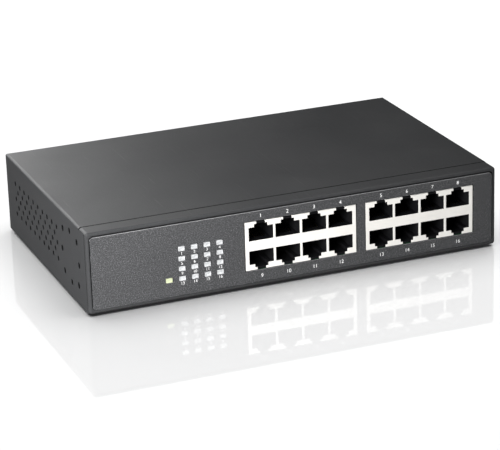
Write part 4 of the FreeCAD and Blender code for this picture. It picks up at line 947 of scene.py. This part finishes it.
screwGroups = {
    "board_screws": ("boardScrews", "up"),
    "supply_screws": ("supplyScrews", "up"),
    "cover_screws": ("coverScrews", "back"),
    "inlet_screws": ("inletScrews", "back"),
    "ground_screw": ("groundScrew", "back"),
}
for nodeName, (pieceName, way) in screwGroups.items():
    spots = []
    for number, (low, high) in enumerate(looseBoxes(nodeName)):
        # no two recesses line up
        turn = turnAbout("Z", screwSettings["firstTurn"] + screwSettings["nextTurn"] * number)
        middle = (low + high) / 2
        if way == "up":
            seat = Matrix.Translation((middle.x, middle.y, high.z - screwSettings["tall"]))
        else:
            seat = Matrix.Translation((middle.x, high.y - screwSettings["tall"], middle.z))
            seat = seat @ turnAbout("X", -90)
        spots.append(seat @ turn)
    settle(placeCopies(pieceName, makeScrew(), spots), screwSteel, [nodeName])
print("screws made")


# feet

footSettings = {"sides": 48, "round": 0.006, "edge": 0.0005, "rim": 0.0016, "dish": 0.0003, "soft": 0.00008}


def makeFoot(tall):
    # a moulded pad with a rounded edge and a dished underside
    foot = addRod("footModel", footSettings["sides"], footSettings["round"], tall)
    pickEdges(foot, lambda a, b: max(a.z, b.z) < touch)
    bpy.ops.mesh.bevel(offset=footSettings["edge"], segments=4)
    pickFaces(foot, lambda centre, normal: normal.z < -0.9 and centre.xy.length < near)
    bpy.ops.mesh.inset(thickness=footSettings["rim"])
    bpy.ops.mesh.inset(thickness=footSettings["dish"], depth=-footSettings["dish"])
    objectMode()
    softEdges(foot, footSettings["soft"])
    return foot


def standingSpots(boxes, turnStep=0):
    # one upright place at the foot of each solid, each turned further than the last
    spots = []
    for number, (low, high) in enumerate(boxes):
        middle = (low + high) / 2
        spots.append(Matrix.Translation((middle.x, middle.y, low.z)) @ turnAbout("Z", turnStep * number))
    return spots


footBoxes = looseBoxes("rubber_feet")
footTall = footBoxes[0][1].z - footBoxes[0][0].z
footPads = placeCopies("footPads", makeFoot(footTall), standingSpots(footBoxes))
settle(footPads, footRubber, ["rubber_feet"])
print("feet made")


# capacitors

capSettings = {"sides": 36, "crimpAt": 0.0022, "crimpWide": 0.0012, "crimpIn": 0.90, "rim": 0.0007,
               "dish": 0.0003, "edge": 0.0004, "ventShare": 0.55, "ventWide": 0.00035, "ventDeep": 0.00015,
               "soft": 0.00008, "nextTurn": 31}


def makeCapacitor(radius, tall):
    # a sleeved can: crimped near its foot, rolled rim and a scored vent on its top
    can = addRod("canModel", capSettings["sides"], radius, tall)
    crimpAt = capSettings["crimpAt"]
    for side in (-1, 0, 1):
        pickAll()
        cut = (0.0, 0.0, crimpAt + side * capSettings["crimpWide"] / 2)
        bpy.ops.mesh.bisect(plane_co=cut, plane_no=(0.0, 0.0, 1.0))
        objectMode()
    pickEdges(can, lambda a, b: max(abs(a.z - crimpAt), abs(b.z - crimpAt)) < touch)
    bpy.ops.transform.resize(value=(capSettings["crimpIn"], capSettings["crimpIn"], 1.0))
    pickEdges(can, lambda a, b: min(a.z, b.z) > tall - touch)
    bpy.ops.mesh.bevel(offset=capSettings["edge"], segments=3)
    pickFaces(can, lambda centre, normal: normal.z > 0.9 and centre.xy.length < near)
    bpy.ops.mesh.inset(thickness=capSettings["rim"])
    bpy.ops.mesh.inset(thickness=capSettings["dish"] / 2, depth=-capSettings["dish"])
    objectMode()
    reach = Vector((radius * capSettings["ventShare"], capSettings["ventWide"] / 2, capSettings["ventDeep"]))
    cutCross(can, Vector((0.0, 0.0, tall - capSettings["dish"])), reach)
    softEdges(can, capSettings["soft"], segments=1)
    return can


capGroups = {
    "bulk_capacitor": "bulkCapacitor",
    "output_capacitors": "outputCapacitors",
    "filter_capacitors": "filterCapacitors",
}
for nodeName, pieceName in capGroups.items():
    boxes = looseBoxes(nodeName)
    low, high = boxes[-1]
    can = makeCapacitor((high.x - low.x) / 2, high.z - low.z)
    cans = placeCopies(pieceName, can, standingSpots(boxes, capSettings["nextTurn"]))
    settle(cans, sleeveBlack, [nodeName])
print("capacitors made")


# chips

chipSettings = {"reach": 0.0012, "foot": 0.0006, "thick": 0.00014, "inside": 0.0002, "corner": 0.0012,
                "edge": 0.00015, "key": 0.0007, "shoulder": 0.55, "standOff": 0.0001}


def makeLeg(wide, rise):
    # a gull-wing lead along +x: out of the body, down, and out along the board
    thick = chipSettings["thick"]
    half = (chipSettings["reach"] - chipSettings["foot"]) / 2
    inner = Vector((-chipSettings["inside"], -wide / 2, rise - thick))
    leg = addBox("legModel", inner, Vector((half, wide / 2, rise)))
    pickFaces(leg, lambda centre, normal: normal.x > 0.9)
    bpy.ops.mesh.extrude_region_move(TRANSFORM_OT_translate={"value": (half, 0.0, thick - rise)})
    bpy.ops.mesh.extrude_region_move(TRANSFORM_OT_translate={"value": (chipSettings["foot"], 0.0, 0.0)})
    objectMode()
    smoothShade(leg, 30)
    return leg


def makeChipBody(name, low, high):
    body = addBox(name, low, high)
    tall = high.z - low.z
    pickEdges(body, lambda a, b: abs(a.z - b.z) > tall / 2 and a.x < low.x + near and a.y < low.y + near)
    bpy.ops.mesh.bevel(offset=chipSettings["key"], segments=1)  # the keyed corner by lead one
    objectMode()
    softEdges(body, chipSettings["edge"])
    return body


def legSpots(low, high, inset, settings):
    # a row of places along each side of a chip that has leads
    size = high - low - 2 * inset
    middle = (low + high) / 2
    spots = []
    pairs = (("x", size.y, size.x / 2, (0, 180)), ("y", size.x, size.y / 2, (90, 270)))
    for axis, along, half, turns in pairs:
        if axis not in settings["sides"]:
            continue
        count = int((along - chipSettings["corner"]) / settings["pitch"])
        for turn in turns:
            side = Matrix.Translation((middle.x, middle.y, low.z)) @ turnAbout("Z", turn)
            for leg in range(count):
                shift = (leg - (count - 1) / 2) * settings["pitch"]
                spots.append(side @ Matrix.Translation((half, shift, 0.0)))
    return spots


def dressChips(nodeName, settings):
    # bodies ride in one piece and their leads in another
    boxes = looseBoxes(nodeName)
    reach = chipSettings["reach"]
    inset = Vector([reach if axis in settings["sides"] else 0.0 for axis in "xyz"])
    raised = inset + Vector((0.0, 0.0, chipSettings["standOff"]))
    bodies, spots = [], []
    for number, (low, high) in enumerate(boxes):
        bodies.append(makeChipBody(settings["piece"] + "Body" + str(number), low + raised, high - inset))
        spots += legSpots(low, high, inset, settings)
    low, high = boxes[0]
    leg = makeLeg(settings["wide"], (high.z - low.z) * chipSettings["shoulder"])
    settle(joinPieces(settings["piece"], bodies), settings["finish"], [nodeName])
    settle(placeCopies(settings["piece"] + "Leads", leg, spots), pinPlate)


chipGroups = {
    "phy_chips": {"piece": "phyChips", "sides": "xy", "wide": 0.00022, "pitch": 0.0005,
                  "finish": chipBlack, "slot": "chip_black"},
    "switch_chip": {"piece": "switchChip", "sides": "xy", "wide": 0.00020, "pitch": 0.0004,
                    "finish": chipBlack, "slot": "chip_black"},
    "flash_chip": {"piece": "flashChip", "sides": "x", "wide": 0.00042, "pitch": 0.00127,
                   "finish": chipBlack, "slot": "chip_black"},
    "magnetics": {"piece": "magneticModules", "sides": "y", "wide": 0.00045, "pitch": 0.001,
                  "finish": moduleBlack, "slot": "module_black"},
}
for nodeName, settings in chipGroups.items():
    dressChips(nodeName, settings)
print("chips made")


# choke

chokeSettings = {"turns": 34, "wire": 0.00028, "coreSlack": 0.0005, "coreFlat": 0.96, "tilt": 4,
                 "firstTurn": 15, "sweep": 330}
chokeLow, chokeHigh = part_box("choke")
chokeMiddle = (chokeLow + chokeHigh) / 2
tubeRound = (chokeHigh.z - chokeLow.z) / 2
ringRound = (chokeHigh.x - chokeLow.x) / 2 - tubeRound


def addRing(name, ringRadius, tubeRadius, ringSides, tubeSides, **place):
    bpy.ops.object.select_all(action="DESELECT")
    bpy.ops.mesh.primitive_torus_add(major_radius=ringRadius, minor_radius=tubeRadius,
                                     major_segments=ringSides, minor_segments=tubeSides, **place)
    ring = bpy.context.object
    ring.name = name
    placeIntoMesh()
    pickAll()
    return ring


core = addRing("chokeCore", ringRound, tubeRound - chokeSettings["coreSlack"], 48, 16, location=chokeMiddle)
bpy.ops.transform.resize(value=(1.0, 1.0, chokeSettings["coreFlat"]))
objectMode()
smoothShade(core, 50)
settle(core, ferriteGrey)

turnRound = tubeRound - chokeSettings["wire"]
winding = addRing("windingModel", turnRound, chokeSettings["wire"], 18, 6,
                  rotation=(math.radians(90), 0.0, 0.0))
bpy.ops.transform.rotate(value=math.radians(chokeSettings["tilt"]), orient_axis="X",
                         center_override=(0.0, 0.0, 0.0))
objectMode()
smoothShade(winding, 60)
windingSpots = []
for number in range(chokeSettings["turns"]):
    degrees = chokeSettings["firstTurn"] + chokeSettings["sweep"] * number / (chokeSettings["turns"] - 1)
    spot = Matrix.Translation(chokeMiddle) @ turnAbout("Z", degrees)
    windingSpots.append(spot @ Matrix.Translation((ringRound, 0.0, 0.0)))
settle(placeCopies("chokeWinding", winding, windingSpots), copperWire, ["choke"])
print("choke wound")


# the rest of the frame: each node's piece, finish, slot and edge round

dressedNodes = {
    "jack_contacts_left": ("leftContacts", contactGold, "gold", 0.00003),
    "jack_contacts_right": ("rightContacts", contactGold, "gold", 0.00003),
    "lamp_holders": ("lampHolders", holderBlack, "holder_black", 0.0002),
    "power_lamp_holder": ("powerLampHolder", holderBlack, "holder_black", 0.0002),
    "main_board": ("mainBoard", boardGreen, "board_green", 0.0001),
    "supply_board": ("supplyBoard", boardGreen, "board_green", 0.0001),
    "board_standoffs": ("boardStandoffs", turnedBrass, "standoff_brass", 0.0002),
    "supply_standoffs": ("supplyStandoffs", turnedBrass, "standoff_brass", 0.0002),
    "power_transistor": ("powerTransistor", chipBlack, "chip_black", 0.0003),
    "heatsink": ("finnedSink", blackAnodise, "sink_black", 0.00015),
    "supply_heatsink": ("supplySink", plainAluminium, "sink_plain", 0.0002),
    "crystal": ("crystalCan", drawnSteel, "crystal_can", 0.0009),
    "power_coil": ("powerCoil", ferriteGrey, "ferrite", 0.0008),
    "supply_insulator": ("insulatingSheet", insulatorFilm, "insulator", 0.00008),
    "transformer_core": ("transformerCore", ferriteGrey, "ferrite", 0.0005),
    "transformer_winding": ("transformerWinding", windingTape, "tape_yellow", 0.0012),
    "fuse": ("fuseCase", fuseBrown, "fuse_brown", 0.0005),
    "mains_header": ("mainsHeader", headerNylon, "header_white", 0.0003),
    "supply_socket": ("supplySocket", headerNylon, "header_white", 0.0003),
    "board_socket": ("boardSocket", headerNylon, "header_white", 0.0003),
    "inlet_body": ("inletShell", inletBlack, "inlet_black", 0.00035),
    "inlet_pins": ("inletBlades", pinPlate, "pin_plate", 0.00025),
    "ground_washer": ("groundWasher", screwSteel, "screw_steel", 0.0001),
    "earth_terminal": ("earthTerminal", pinPlate, "pin_plate", 0.00015),
    "neutral_lead": ("neutralLead", blueJacket, "wire_blue", 0.0),
    "live_lead": ("liveLead", brownJacket, "wire_brown", 0.0),
    "earth_lead": ("earthLead", earthJacket, "wire_green", 0.0),
    "supply_lead_plus": ("supplyLeadPlus", redJacket, "wire_red", 0.0),
    "supply_lead_minus": ("supplyLeadMinus", blackJacket, "wire_black", 0.0),
}
for nodeName, (pieceName, finish, slot, edge) in dressedNodes.items():
    piece = nodeCopy(nodeName, pieceName)
    if edge:
        softEdges(piece, edge)
    else:
        smoothShade(piece, 50)
    settle(piece, finish, [nodeName])
print("frame dressed")
